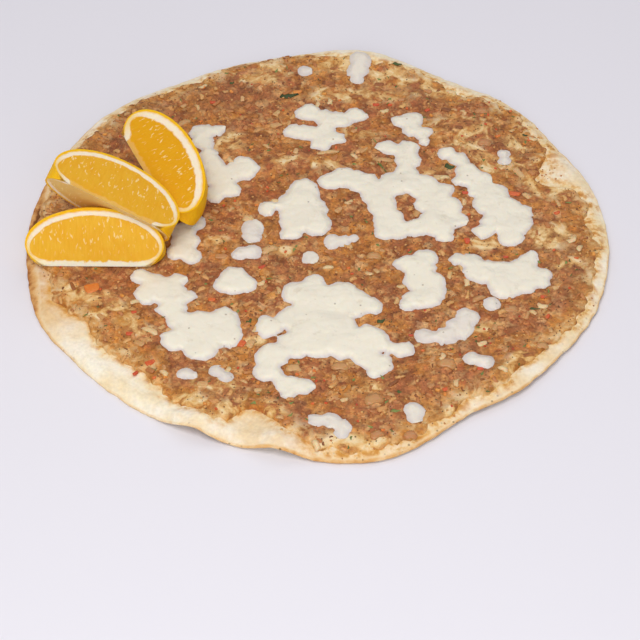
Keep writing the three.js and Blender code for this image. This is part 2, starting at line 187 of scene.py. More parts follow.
bread_tree = tree_of("flatbread")
side_angles = 2 * np.pi * np.arange(BREAD_SIDES) / BREAD_SIDES
side_reach = np.array([reach(bread_tree, a, 0.1, 0.2) for a in side_angles])


def bread_rings(shares, side):
    """Heights of the frame's bread on rings at shares of its radius, softened across the rings."""
    rings = []
    for share in shares:
        r = side_reach * share * JUST_INSIDE
        spots = zip(r * np.cos(side_angles), r * np.sin(side_angles))
        rings.append([cast(bread_tree, x, y, side) for x, y in spots])
    rings = np.array([finer_ring(ring, BREAD_TURNS) for ring in rings])
    for _ in range(RIM_SOFTENING):
        rings[1:-1] = (rings[:-2] + 2 * rings[1:-1] + rings[2:]) / 4
    return rings


turn_angles = 2 * np.pi * np.arange(BREAD_TURNS) / BREAD_TURNS
mince_tree = tree_of("minced_topping")
round_x = BREAD_HALF * np.cos(turn_angles)
round_y = BREAD_HALF * np.sin(turn_angles)
nibbled = 0.4 + 0.3 * waves(round_x, round_y, 5 * MM, 1) + 0.15 * waves(round_x, round_y, 2 * MM, 2)
bread_reach = finer_ring(side_reach, BREAD_TURNS) - nibbled * MM

hem_reach = np.array([reach(mince_tree, a, 0.08, 0.15) for a in turn_angles])
hem_x = hem_reach * np.cos(turn_angles)
hem_y = hem_reach * np.sin(turn_angles)
ragged = 1.7 * waves(hem_x, hem_y, 7 * MM, 31) + 1.5 * waves(hem_x, hem_y, 3.4 * MM, 32)
ragged = ragged + 0.7 * waves(hem_x, hem_y, 1.8 * MM, 33)
hem_reach = np.minimum(hem_reach + ragged * MM, bread_reach - RIM_LEAST)


def hem(angle):
    """Distance from the middle to the edge of the topping."""
    all_round = np.append(turn_angles, 2 * np.pi)
    return np.interp(angle % (2 * np.pi), all_round, np.append(hem_reach, hem_reach[0]))


top_z = bread_rings(BREAD_TOP_SHARES, 1)
top_r = BREAD_TOP_SHARES[:, None] * bread_reach
under_z = bread_rings(BREAD_UNDER_SHARES, -1)
under_r = BREAD_UNDER_SHARES[:, None] * bread_reach
bare_rim = ease(0.8, 0.86, BREAD_TOP_SHARES)[:, None]
top_x = top_r * np.cos(turn_angles)
top_y = top_r * np.sin(turn_angles)
puffs = 0.2 * waves(top_x, top_y, 12 * MM, 3) + 0.11 * waves(top_x, top_y, 4 * MM, 4)
bubbles = 1.5 * np.maximum(0, lumps(top_x, top_y, 6.5 * MM, 5) - 0.68)
top_z = top_z + bare_rim * (puffs + bubbles) * MM
under_x = under_r * np.cos(turn_angles)
under_y = under_r * np.sin(turn_angles)
under_z = np.maximum(0, under_z) + np.maximum(0, 0.2 * waves(under_x, under_y, 9 * MM, 6)) * MM

lean = np.linspace(-np.pi / 2, np.pi / 2, EDGE_STEPS + 2)[1:-1, None]
edge_mid = (top_z[-1] + under_z[-1]) / 2
edge_half = (top_z[-1] - under_z[-1]) / 2
edge_r = bread_reach - EDGE_ROUND + EDGE_ROUND * np.cos(lean)
edge_z = edge_mid + edge_half * np.sin(lean)

bread_r = np.concatenate([under_r, edge_r, top_r[::-1]])
bread_z = np.concatenate([under_z, edge_z, top_z[::-1]])
bread_x = bread_r * np.cos(turn_angles)
bread_y = bread_r * np.sin(turn_angles)
bread_share = bread_r / bread_reach
bread_points = np.stack([bread_x, bread_y, bread_z], -1).reshape(-1, 3)
bread_faces = ring_faces(len(bread_r), BREAD_TURNS)
under_middle = len(bread_points)
top_middle = under_middle + 1
last_ring = under_middle - BREAD_TURNS
for k in range(BREAD_TURNS):
    after = (k + 1) % BREAD_TURNS
    bread_faces.append([under_middle, after, k])
    bread_faces.append([top_middle, last_ring + k, last_ring + after])
middles = [[0, 0, 0], [0, 0, float(top_z[0].mean())]]
is_under = np.concatenate([np.ones_like(under_r), np.zeros_like(edge_r), np.zeros_like(top_r)])
toasted = np.broadcast_to(bells(turn_angles, TOASTED_SIDES), bread_r.shape)
past_hem = bread_r - hem(turn_angles)
uneven = 1 + 0.7 * waves(bread_x, bread_y, 8 * MM, 7)
stain_reach = (4 + bells(turn_angles, STAINED_SIDES)) * MM
stained = (1 - is_under) * ease(stain_reach * uneven, 0, past_hem)
clustered = ease(-0.1, 0.5, waves(bread_x, bread_y, 9 * MM, 8))
crumbed = (1 - is_under) * clustered * ease(stain_reach, 0.5 * MM, past_hem) * (past_hem > 0.3 * MM)

bread = make_piece(
    "baked_flatbread", np.concatenate([bread_points, middles]), bread_faces,
    edge=np.append(ease(0.96, 1, bread_share), [0, 0]),
    under=np.append(is_under, [1, 0]),
    toast=np.append(toasted, [0, 0]),
    stained=np.append(stained, [0, 1]),
    crumbed=np.append(crumbed, [0, 0]),
)


def linear(colour):
    """An sRGB hex colour as linear red, green, blue and alpha."""
    parts = [int(colour[k : k + 2], 16) / 255 for k in (1, 3, 5)]
    return [*(c / 12.92 if c <= 0.04045 else ((c + 0.055) / 1.055) ** 2.4 for c in parts), 1]


def add(tree, kind, inputs=None, stops=None, **settings):
    """Adds a node with its settings, its inputs as values or links, and a colour ramp's stops.

    Inputs go by name or number. A map range takes its value as 0, and maps 1 and 2 to 3 and 4.
    A colour mix takes its share as 0, and its two colours as 6 and 7.
    """
    node = tree.nodes.new(kind)
    for name, value in settings.items():
        setattr(node, name, value)
    for socket, value in (inputs or {}).items():
        if isinstance(value, bpy.types.NodeSocket):
            tree.links.new(value, node.inputs[socket])
        else:
            node.inputs[socket].default_value = linear(value) if str(value).startswith("#") else value
    for k, (place, colour) in enumerate(stops or []):
        ramp = node.color_ramp.elements
        stop = ramp[k] if k < 2 else ramp.new(place)
        stop.position = place
        stop.color = linear(colour) if isinstance(colour, str) else [colour, colour, colour, 1]
    return node


def finish_named(name):
    """A new material, its node tree and its shader."""
    material = bpy.data.materials.new(name)
    material.use_nodes = True
    return material, material.node_tree, material.node_tree.nodes["Principled BSDF"]


# Baked wheat dough: dry and matt, dusted with flour, so light spreads softly in its pale crumb.
# It browns first where it is thinnest, freckles where bubbles touched the stone, and takes up oil.
dough, nodes, shader = finish_named("baked_wheat_dough")
place = add(nodes, "ShaderNodeTexCoord").outputs["Object"]
cloudy = add(nodes, "ShaderNodeTexNoise", {"Vector": place, "Scale": 1 / (13 * MM), "Detail": 4.0})
colour = add(nodes, "ShaderNodeValToRGB", {0: cloudy.outputs[0]},
             stops=[(0.3, "#F2DBAF"), (0.46, "#F9EACA"), (0.6, "#FDF5E2")])
grain = add(nodes, "ShaderNodeTexNoise", {"Vector": place, "Scale": 1 / (1.6 * MM), "Detail": 6.0})
floury = add(nodes, "ShaderNodeMapRange", {0: grain.outputs[0], 1: 0.35, 2: 0.7, 3: 0.9, 4: 1.04})
colour = add(nodes, "ShaderNodeVectorMath", {0: colour.outputs[0], "Scale": floury.outputs[0]},
             operation="SCALE")
# Oil from the topping, soaked in beside it
stained = add(nodes, "ShaderNodeAttribute", attribute_name="stained")
blot = add(nodes, "ShaderNodeTexNoise",
           {"Vector": place, "Scale": 1 / (4 * MM), "Detail": 6.0, "Roughness": 0.62})
soaked = add(nodes, "ShaderNodeMapRange", {0: blot.outputs[0], 1: 0.36, 2: 0.58, 3: 0.3, 4: 1.0})
soaked = add(nodes, "ShaderNodeMath", {0: soaked.outputs[0], 1: stained.outputs["Fac"]},
             operation="MULTIPLY")
oil = add(nodes, "ShaderNodeValToRGB", {0: blot.outputs[0]},
          stops=[(0.42, "#F1D295"), (0.53, "#E3B062"), (0.64, "#C2823E")])
colour = add(nodes, "ShaderNodeMix", {0: soaked.outputs[0], 6: colour.outputs[0], 7: oil.outputs[0]},
             data_type="RGBA")
# Tan and brown where the stone was hottest, darkest along the thin edge
edge = add(nodes, "ShaderNodeAttribute", attribute_name="edge")
toast = add(nodes, "ShaderNodeAttribute", attribute_name="toast")
tanned = add(nodes, "ShaderNodeMath", {0: toast.outputs["Fac"], 1: blot.outputs[0]}, operation="MULTIPLY")
colour = add(nodes, "ShaderNodeMix", {0: tanned.outputs[0], 6: colour.outputs[2], 7: "#D5983F"},
             data_type="RGBA")
patchy = add(nodes, "ShaderNodeTexNoise",
             {"Vector": place, "Scale": 1 / (5 * MM), "Detail": 5.0, "Roughness": 0.6})
narrow = add(nodes, "ShaderNodeMath", {0: toast.outputs["Fac"], 1: -7.5, 2: 9.0}, operation="MULTIPLY_ADD")
browned = add(nodes, "ShaderNodeMath", {0: edge.outputs["Fac"], 1: narrow.outputs[0]}, operation="POWER")
browned = add(nodes, "ShaderNodeMath", {0: browned.outputs[0], 1: patchy.outputs[0]}, operation="MULTIPLY")
baked = add(nodes, "ShaderNodeMath", {0: toast.outputs["Fac"], 1: 0.55, 2: 0.38}, operation="MULTIPLY_ADD")
browned = add(nodes, "ShaderNodeMath", {0: browned.outputs[0], 1: baked.outputs[0]}, operation="MULTIPLY")
crust = add(nodes, "ShaderNodeValToRGB", {0: browned.outputs[0]},
            stops=[(0.1, "#F3DDB2"), (0.38, "#DDAA69"), (0.58, "#B0713A"), (0.74, "#76481F")])
browning = add(nodes, "ShaderNodeMapRange", {0: browned.outputs[0], 1: 0.05, 2: 0.26})
colour = add(nodes, "ShaderNodeMix", {0: browning.outputs[0], 6: colour.outputs[2], 7: crust.outputs[0]},
             data_type="RGBA")
# Burnt freckles near the edge
cells = add(nodes, "ShaderNodeTexVoronoi", {"Vector": place, "Scale": 1 / (2.4 * MM)})
picked = add(nodes, "ShaderNodeSeparateColor", {0: cells.outputs["Color"]})
chosen = add(nodes, "ShaderNodeMapRange", {0: picked.outputs[0], 1: 0.6, 2: 0.66})
spot = add(nodes, "ShaderNodeMapRange", {0: cells.outputs["Distance"], 1: 0.28, 2: 0.12})
freckle = add(nodes, "ShaderNodeMath", {0: chosen.outputs[0], 1: spot.outputs[0]}, operation="MULTIPLY")
freckle = add(nodes, "ShaderNodeMath", {0: freckle.outputs[0], 1: edge.outputs["Fac"]},
              operation="MULTIPLY")
freckled = add(nodes, "ShaderNodeMath", {0: toast.outputs["Fac"], 1: 1.6, 2: 0.02},
               operation="MULTIPLY_ADD")
freckle = add(nodes, "ShaderNodeMath", {0: freckle.outputs[0], 1: freckled.outputs[0]},
              operation="MULTIPLY", use_clamp=True)
colour = add(nodes, "ShaderNodeMix", {0: freckle.outputs[0], 6: colour.outputs[2], 7: "#6B4526"},
             data_type="RGBA")
# Scorched spots on the underside
under = add(nodes, "ShaderNodeAttribute", attribute_name="under")
stone = add(nodes, "ShaderNodeTexNoise",
            {"Vector": place, "Scale": 1 / (17 * MM), "Detail": 6.0, "Roughness": 0.65})
scorch = add(nodes, "ShaderNodeValToRGB", {0: stone.outputs[0]},
             stops=[(0.45, "#EBD8B4"), (0.56, "#C7935A"), (0.66, "#7A4C28")])
colour = add(nodes, "ShaderNodeMix", {0: under.outputs["Fac"], 6: colour.outputs[2], 7: scorch.outputs[0]},
             data_type="RGBA")
nodes.links.new(colour.outputs[2], shader.inputs["Base Color"])
bump = add(nodes, "ShaderNodeBump", {"Height": grain.outputs[0], "Strength": 0.4, "Distance": 0.3 * MM})
nodes.links.new(bump.outputs[0], shader.inputs["Normal"])
shader.inputs["Roughness"].default_value = 0.82
shader.inputs["Specular IOR Level"].default_value = 0.3
shader.inputs["Subsurface Weight"].default_value = 0.12
shader.inputs["Subsurface Radius"].default_value = (1.0, 0.6, 0.3)
shader.inputs["Subsurface Scale"].default_value = 2 * MM

bread.data.materials.append(dough)
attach(bread, "root")
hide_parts("flatbread")


# Minced topping
# Lamb minced fine with onion, pepper, tomato and parsley, pressed thin over the dough before baking.
# It lies in low lumps, thins to oily dough over each blister, and ends in a ragged line at the rim.
MINCE_GRID = 330  # points along each side of the grid that fills the round
MINCE_SKIRT = [(1, 0.25), (0.975, 0.3), (0.9, 0.3), (0.8, 0.3), (0.7, 0.3)]  # share, depth in the dough
MINCE_EDGE = 2.4 * MM  # the topping rounds off over this width
LATTICE = 1.5 * MM  # spacing of the heights read from the frame
LATTICE_HALF = 0.141  # how far the lattice reaches each way, in metres
DIE_WINDOW = 5  # lattice points across which the dice are levelled out
ALONGSIDE = 0.9 * MM  # height given to the topping just past its edge
RIM_SHARE = 0.985  # how far out the bread's height is read there
HEM_WIDTH = 13 * MM  # the topping is thin and oily within this distance of its edge
BARE_HEM = 1.2 * MM  # no bits lie this near its edge

PALE_AREAS = [  # where the dough shows: x, y, half length, half width, turn in degrees
    (-28, 113, 14, 8, 10),
    (12, 122, 20, 7, 0),
    (38, 108, 16, 9, -20),
    (50, 124, 12, 6, -30),
    (-42, 62, 9, 7, 20),
    (-4, 48, 20, 5, -5),
    (20, 70, 9, 6, 0),
    (57, 45, 8, 6, 30),
    (70, 72, 19, 12, -20),
    (82, 45, 17, 5, -62),
    (108, 35, 14, 10, -60),
    (107, -5, 12, 9, 0),
    (95, 62, 9, 7, 0),
    (110, -25, 9, 5, 20),
    (-48, -8, 7, 4, 0),
    (-15, -14, 6, 4, 0),
    (-28, -72, 7, 4, 10),
    (12, -85, 6, 3, 0),
    (-100, -45, 20, 6, -30),
    (-85, -60, 18, 6, -35),
    (-60, -106, 15, 7, -15),
    (-28, -114, 16, 7, 0),
    (15, -130, 14, 5, 0),
    (62, -112, 11, 3, 25),
    (88, -84, 14, 4, 45),
    (18, 98, 24, 6, -4),
    (60, 104, 13, 7, -15),
    (94, 46, 9, 6, -50),
    (-42, -98, 15, 6, -12),
    (24, -101, 8, 4, 0),
    (74, -64, 7, 4, 20),
    (76, -9, 8, 5, 0),
]
COARSE_AREAS = [  # where the mince lies thick and dark, in the same terms
    (-45, 96, 22, 14, 0),
    (115, -30, 12, 32, 10),
    (50, 100, 16, 8, -20),
    (-90, 75, 20, 12, 50),
    (96, 60, 12, 10, 0),
]


def within(x, y, areas, seed):
    """From 0 outside these areas to 1 well inside them, with ragged edges."""
    depth = np.full_like(x, -1.0)
    for at_x, at_y, long, wide, turn in areas:
        c = math.cos(math.radians(turn))
        s = math.sin(math.radians(turn))
        u = (x - at_x * MM) * c + (y - at_y * MM) * s
        v = (y - at_y * MM) * c - (x - at_x * MM) * s
        depth = np.maximum(depth, 1 - np.hypot(u / (long * MM), v / (wide * MM)))
    ragged = 0.3 * waves(x, y, 7 * MM, seed) + 0.22 * waves(x, y, 2.6 * MM, seed + 1)
    return ease(-0.25, 0.45, depth + ragged)


cheese_names = sorted(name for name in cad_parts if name.startswith("cheese_patch"))
lemon_names = sorted(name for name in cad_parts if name.startswith("lemon_wedge"))
cover_tree = tree_of(*cheese_names, *lemon_names)

ticks = np.arange(-LATTICE_HALF, LATTICE_HALF, LATTICE)
raw_heights = np.zeros((len(ticks), len(ticks)))
for i, x in enumerate(ticks):
    for j, y in enumerate(ticks):
        z = cast(mince_tree, x, y)
        if z is None:
            angle = math.atan2(y, x)
            rim = np.interp(angle % (2 * np.pi), turn_angles, bread_reach) * RIM_SHARE
            r = min(math.hypot(x, y), rim)
            z = cast(bread_tree, r * math.cos(angle), r * math.sin(angle)) + ALONGSIDE
        raw_heights[i, j] = z
padded = np.pad(raw_heights, DIE_WINDOW // 2, "edge")
windows = np.lib.stride_tricks.sliding_window_view(padded, (DIE_WINDOW, DIE_WINDOW))
heights = np.median(windows, axis=(2, 3))
for _ in range(2):
    padded = np.pad(heights, 1, "edge")
    heights = sum(padded[1 + p : padded.shape[0] - 1 + p, 1 + q : padded.shape[1] - 1 + q]
                  for p in (-1, 0, 1) for q in (-1, 0, 1)) / 9


def level(x, y):
    """Height of the frame's topping, without its dice."""
    u = np.clip((x - ticks[0]) / LATTICE, 0, len(ticks) - 1.001)
    v = np.clip((y - ticks[0]) / LATTICE, 0, len(ticks) - 1.001)
    i = u.astype(int)
    j = v.astype(int)
    s = u - i
    t = v - j
    low = heights[i, j] * (1 - s) + heights[i + 1, j] * s
    high = heights[i, j + 1] * (1 - s) + heights[i + 1, j + 1] * s
    return low * (1 - t) + high * t


def mince_top(x, y):
    """Height of the finished topping: the frame's height, with the grain of the mince on it."""
    bend_x = x + 1.1 * MM * waves(x, y, 4 * MM, 11)
    bend_y = y + 1.1 * MM * waves(x, y, 4 * MM, 12)
    grain = 0.55 * lumps(bend_x, bend_y, 3.8 * MM, 13) + 0.3 * lumps(bend_x, bend_y, 1.9 * MM, 14)
    swell = 0.3 * waves(x, y, 9 * MM, 15)
    thick = within(x, y, COARSE_AREAS, 21)
    coarse = 0.9 + 0.9 * thick - 0.6 * within(x, y, PALE_AREAS, 23)
    heaps = (0.4 + 0.7 * thick) * (lumps(bend_x, bend_y, 8 * MM, 16) - 0.5)
    return level(x, y) + (coarse * (grain - 0.38) + swell + heaps) * MM


# A square grid, drawn out so that its border follows the edge of the topping
ticks_across = np.linspace(-1, 1, MINCE_GRID)
across, along = np.meshgrid(ticks_across, ticks_across, indexing="ij")
wide = np.abs(across) > np.abs(along)
longer = np.where(wide, across, along)
ratio = np.where(wide, along, across) / np.where(longer == 0, 1, longer)
grid_share = np.abs(longer)
grid_angle = np.where(wide, ratio * np.pi / 4, np.pi / 2 - ratio * np.pi / 4)
grid_angle = (grid_angle + np.where(longer < 0, np.pi, 0)) % (2 * np.pi)

mince_r = grid_share * hem(grid_angle)
mince_x = mince_r * np.cos(grid_angle)
mince_y = mince_r * np.sin(grid_angle)
mince_z = mince_top(mince_x, mince_y)
bread_skin = BVHTree.FromObject(bread, bpy.context.evaluated_depsgraph_get())
from_hem = (1 - grid_share) * hem(grid_angle)
for i, j in np.argwhere(from_hem < MINCE_EDGE):
    ground = cast(bread_skin, mince_x[i, j], mince_y[i, j]) + 0.05 * MM
    t = from_hem[i, j] / MINCE_EDGE
    mince_z[i, j] = ground + max(0, mince_z[i, j] - ground) * math.sqrt(1 - (1 - t) ** 2)

n = MINCE_GRID
index = np.arange(n * n).reshape(n, n)
corners = [index[:-1, :-1], index[1:, :-1], index[1:, 1:], index[:-1, 1:]]
mince_faces = np.stack(corners, -1).reshape(-1, 4).tolist()
boundary = np.concatenate([index[-1, :-1], index[::-1, -1][:-1], index[0, ::-1][:-1], index[:-1, 0]])
hem_at = grid_angle.ravel()[boundary]
mince_points = np.stack([mince_x, mince_y, mince_z], -1).reshape(-1, 3)
above = boundary
for share, depth in MINCE_SKIRT:
    x = share * hem(hem_at) * np.cos(hem_at)
    y = share * hem(hem_at) * np.sin(hem_at)
    z = [cast(bread_skin, a, b) - depth * MM for a, b in zip(x, y)]
    below = len(mince_points) + np.arange(len(boundary))
    mince_points = np.concatenate([mince_points, np.stack([x, y, z], -1)])
    mince_faces += np.stack([above, below, np.roll(below, -1), np.roll(above, -1)], -1).tolist()
    above = below
mince_faces.append(above[::-1].tolist())

spots = zip(mince_x.ravel(), mince_y.ravel())
covered = np.array([cast(cover_tree, x, y) is not None for x, y in spots])
skirt = np.zeros(len(mince_points) - n * n)
bare = np.where(covered | (from_hem.ravel() < BARE_HEM), 0, 1)
hem_near = ease(HEM_WIDTH, 0, from_hem)
pale = within(mince_x, mince_y, PALE_AREAS, 23)
mince = make_piece(
    "minced_lamb", mince_points, mince_faces,
    bare=np.append(bare, skirt),
    meaty=np.append(bare * (1 - 0.85 * pale.ravel()), skirt),
    pale=np.append(pale, skirt + 1),
    coarse=np.append(within(mince_x, mince_y, COARSE_AREAS, 21), skirt),
    hem=np.append(hem_near, skirt + 1),
)

# Baked mince: moist and slightly oily, a close mosaic of brown, tan and yellow grains a few mm wide.
# Fat glazes it in spots, so its gloss comes and goes, and the thin places let the pale dough through.
lamb, nodes, shader = finish_named("baked_lamb_mince")
place = add(nodes, "ShaderNodeTexCoord").outputs["Object"]
# Grains of two sizes, bent so that none has straight sides
swirl = add(nodes, "ShaderNodeTexNoise", {"Vector": place, "Scale": 1 / (3 * MM), "Detail": 3.0})
bent = add(nodes, "ShaderNodeVectorMath",
           {0: swirl.outputs["Color"], 1: (3.4 * MM, 3.4 * MM, 3.4 * MM), 2: place},
           operation="MULTIPLY_ADD")
coarse_cells = add(nodes, "ShaderNodeTexVoronoi", {"Vector": bent.outputs[0], "Scale": 1 / (4.4 * MM)})
coarse_pick = add(nodes, "ShaderNodeSeparateColor", {0: coarse_cells.outputs["Color"]})
meat = add(nodes, "ShaderNodeValToRGB", {0: coarse_pick.outputs[0]},
           stops=[(0.0, "#7C421B"), (0.2, "#9A5627"), (0.4, "#B26A36"), (0.6, "#BE7A48"), (0.75, "#C8864A"),
                  (0.88, "#D59A5C"), (1.0, "#E6BD8A")])
fine_cells = add(nodes, "ShaderNodeTexVoronoi", {"Vector": bent.outputs[0], "Scale": 1 / (1.9 * MM)})
fine_pick = add(nodes, "ShaderNodeSeparateColor", {0: fine_cells.outputs["Color"]})
grains = add(nodes, "ShaderNodeValToRGB", {0: fine_pick.outputs[1]},
             stops=[(0.0, "#78401C"), (0.3, "#A05A27"), (0.55, "#B87338"), (0.8, "#CA8B48"),
                    (1.0, "#DCA763")])
colour = add(nodes, "ShaderNodeMix", {0: 0.4, 6: meat.outputs[0], 7: grains.outputs[0]}, data_type="RGBA")
# Tomato, rosy lean meat, golden fat that gathers near the rim, and glassy onion
tomato = add(nodes, "ShaderNodeMapRange", {0: coarse_pick.outputs[2], 1: 0.78, 2: 0.82, 3: 0.0, 4: 0.4})
colour = add(nodes, "ShaderNodeMix", {0: tomato.outputs[0], 6: colour.outputs[2], 7: "#BC6434"},
             data_type="RGBA")
broad = add(nodes, "ShaderNodeTexNoise", {"Vector": place, "Scale": 1 / (10 * MM), "Detail": 5.0})
rosy = add(nodes, "ShaderNodeMapRange", {0: broad.outputs[0], 1: 0.5, 2: 0.4, 3: 0.0, 4: 0.5})
colour = add(nodes, "ShaderNodeMix", {0: rosy.outputs[0], 6: colour.outputs[2], 7: "#AD6843"},
             data_type="RGBA")
hem_side = add(nodes, "ShaderNodeAttribute", attribute_name="hem")
fatty = add(nodes, "ShaderNodeMath", {0: hem_side.outputs["Fac"], 1: 0.16, 2: broad.outputs[0]},
            operation="MULTIPLY_ADD")
golden = add(nodes, "ShaderNodeMapRange", {0: fatty.outputs[0], 1: 0.5, 2: 0.62, 3: 0.0, 4: 0.65})
colour = add(nodes, "ShaderNodeMix", {0: golden.outputs[0], 6: colour.outputs[2], 7: "#CB8433"},
             data_type="RGBA")
soft = add(nodes, "ShaderNodeTexNoise", {"Vector": bent.outputs[0], "Scale": 1 / (4.5 * MM), "Detail": 2.0})
glassy = add(nodes, "ShaderNodeMapRange", {0: soft.outputs[0], 1: 0.56, 2: 0.68, 3: 0.0, 4: 0.65})
colour = add(nodes, "ShaderNodeMix", {0: glassy.outputs[0], 6: colour.outputs[2], 7: "#DDAB70"},
             data_type="RGBA")
# Darker where it lies thick, with fine fibres, and painted shade in its creases
coarse = add(nodes, "ShaderNodeAttribute", attribute_name="coarse")
darker = add(nodes, "ShaderNodeMath", {0: coarse.outputs["Fac"], 1: 0.4}, operation="MULTIPLY")
colour = add(nodes, "ShaderNodeMix", {0: darker.outputs[0], 6: colour.outputs[2], 7: "#955E3B"},
             data_type="RGBA")
fibres = add(nodes, "ShaderNodeTexNoise",
             {"Vector": place, "Scale": 1 / (1.5 * MM), "Detail": 5.0, "Roughness": 0.7})
shade = add(nodes, "ShaderNodeMapRange", {0: fibres.outputs[0], 1: 0.32, 2: 0.68, 3: 0.63, 4: 1.34})
# Painted shade in the creases: darker towards the borders of the coarse cells
painted_crease_shade = add(nodes, "ShaderNodeMapRange",
             {0: coarse_cells.outputs["Distance"], 1: 0.3, 2: 0.75, 3: 1.08, 4: 0.74})
shade = add(nodes, "ShaderNodeMath", {0: shade.outputs[0], 1: painted_crease_shade.outputs[0]}, operation="MULTIPLY")
colour = add(nodes, "ShaderNodeVectorMath", {0: colour.outputs[2], "Scale": shade.outputs[0]},
             operation="SCALE")
# Pale oily dough, where the topping is thin
pale = add(nodes, "ShaderNodeAttribute", attribute_name="pale")
thin = add(nodes, "ShaderNodeMath", {0: hem_side.outputs["Fac"], 1: 0.7, 2: pale.outputs["Fac"]},
           operation="MULTIPLY_ADD")
mottle = add(nodes, "ShaderNodeTexNoise",
             {"Vector": place, "Scale": 1 / (8.5 * MM), "Detail": 6.0, "Roughness": 0.6, "Distortion": 0.5})
mottled = add(nodes, "ShaderNodeMapRange", {0: mottle.outputs[0], 1: 0.42, 2: 0.57, 3: 0.0, 4: 1.05})
thin = add(nodes, "ShaderNodeMath", {0: thin.outputs[0], 1: mottled.outputs[0]},
           operation="MULTIPLY", use_clamp=True)
oily = add(nodes, "ShaderNodeValToRGB", {0: mottle.outputs[0]},
           stops=[(0.42, "#CB8D43"), (0.5, "#DDAA62"), (0.58, "#EAC68C"), (0.66, "#F4DCB0")])
colour = add(nodes, "ShaderNodeMix", {0: thin.outputs[0], 6: colour.outputs[0], 7: oily.outputs[0]},
             data_type="RGBA")
nodes.links.new(colour.outputs[2], shader.inputs["Base Color"])
gloss = add(nodes, "ShaderNodeMapRange", {0: broad.outputs[0], 1: 0.35, 2: 0.65, 3: 0.62, 4: 0.36})
nodes.links.new(gloss.outputs[0], shader.inputs["Roughness"])
heap = add(nodes, "ShaderNodeMath", {0: fine_cells.outputs["Distance"], 1: -0.8, 2: fibres.outputs[0]},
           operation="MULTIPLY_ADD")
bump = add(nodes, "ShaderNodeBump", {"Height": heap.outputs[0], "Strength": 0.7, "Distance": 0.5 * MM})
nodes.links.new(bump.outputs[0], shader.inputs["Normal"])
shader.inputs["Specular IOR Level"].default_value = 0.36
shader.inputs["Subsurface Weight"].default_value = 0.08
shader.inputs["Subsurface Radius"].default_value = (1.0, 0.45, 0.25)
shader.inputs["Subsurface Scale"].default_value = 1.2 * MM

mince.data.materials.append(lamb)
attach(mince, "root")
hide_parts("minced_topping")


# Bits in the topping
# Crumbs of meat, onion, sweet pepper, parsley and burnt specks, chopped or ground before the topping
# was spread, and baked into its surface. The smallest are strewn at random, and the largest lie where
# the photograph shows them.
RISE = 0.05  # how far a bit's middle stands above the topping, as a share of its height


def lump(name, size, sides, rough, seed):
    """An uneven low-polygon lump, sunk so that its origin lies below its middle."""
    shell = bmesh.new()
    bmesh.ops.create_icosphere(shell, subdivisions=sides, radius=0.5)
    rng = np.random.default_rng(seed)
    lobes = rng.uniform(0, 2 * math.pi, 3)
    for v in shell.verts:
        around = math.atan2(v.co.y, v.co.x)
        stretch = 1 + rough * rng.uniform(-1, 1)
        stretch += rough * sum(math.sin((k + 2) * around + lobes[k]) for k in range(3))
        v.co = Vector((v.co.x * size[0], v.co.y * size[1], v.co.z * size[2])) * stretch * MM
        v.co.z += RISE * size[2] * MM
    mesh = bpy.data.meshes.new(name)
    shell.to_mesh(mesh)
    shell.free()
    mesh.polygons.foreach_set("use_smooth", np.ones(len(mesh.polygons), bool))
    return bpy.data.objects.new(name, mesh)


def die(name, size, seed):
    """A knife-cut die with skewed sides and softened edges, its origin below its middle."""
    block = bmesh.new()
    bmesh.ops.create_cube(block, size=1)
    rng = np.random.default_rng(seed)
    for v in block.verts:
        v.co.x += 0.2 * v.co.y + rng.uniform(-0.2, 0.2)
        v.co.y += rng.uniform(-0.2, 0.2)
    bmesh.ops.bevel(block, geom=block.edges[:], offset=0.24, segments=2, affect="EDGES", profile=0.5)
    for v in block.verts:
        v.co = Vector((v.co.x * size[0], v.co.y * size[1], (v.co.z + RISE) * size[2])) * MM
    mesh = bpy.data.meshes.new(name)
    block.to_mesh(mesh)
    block.free()
    mesh.polygons.foreach_set("use_smooth", np.ones(len(mesh.polygons), bool))
    return bpy.data.objects.new(name, mesh)


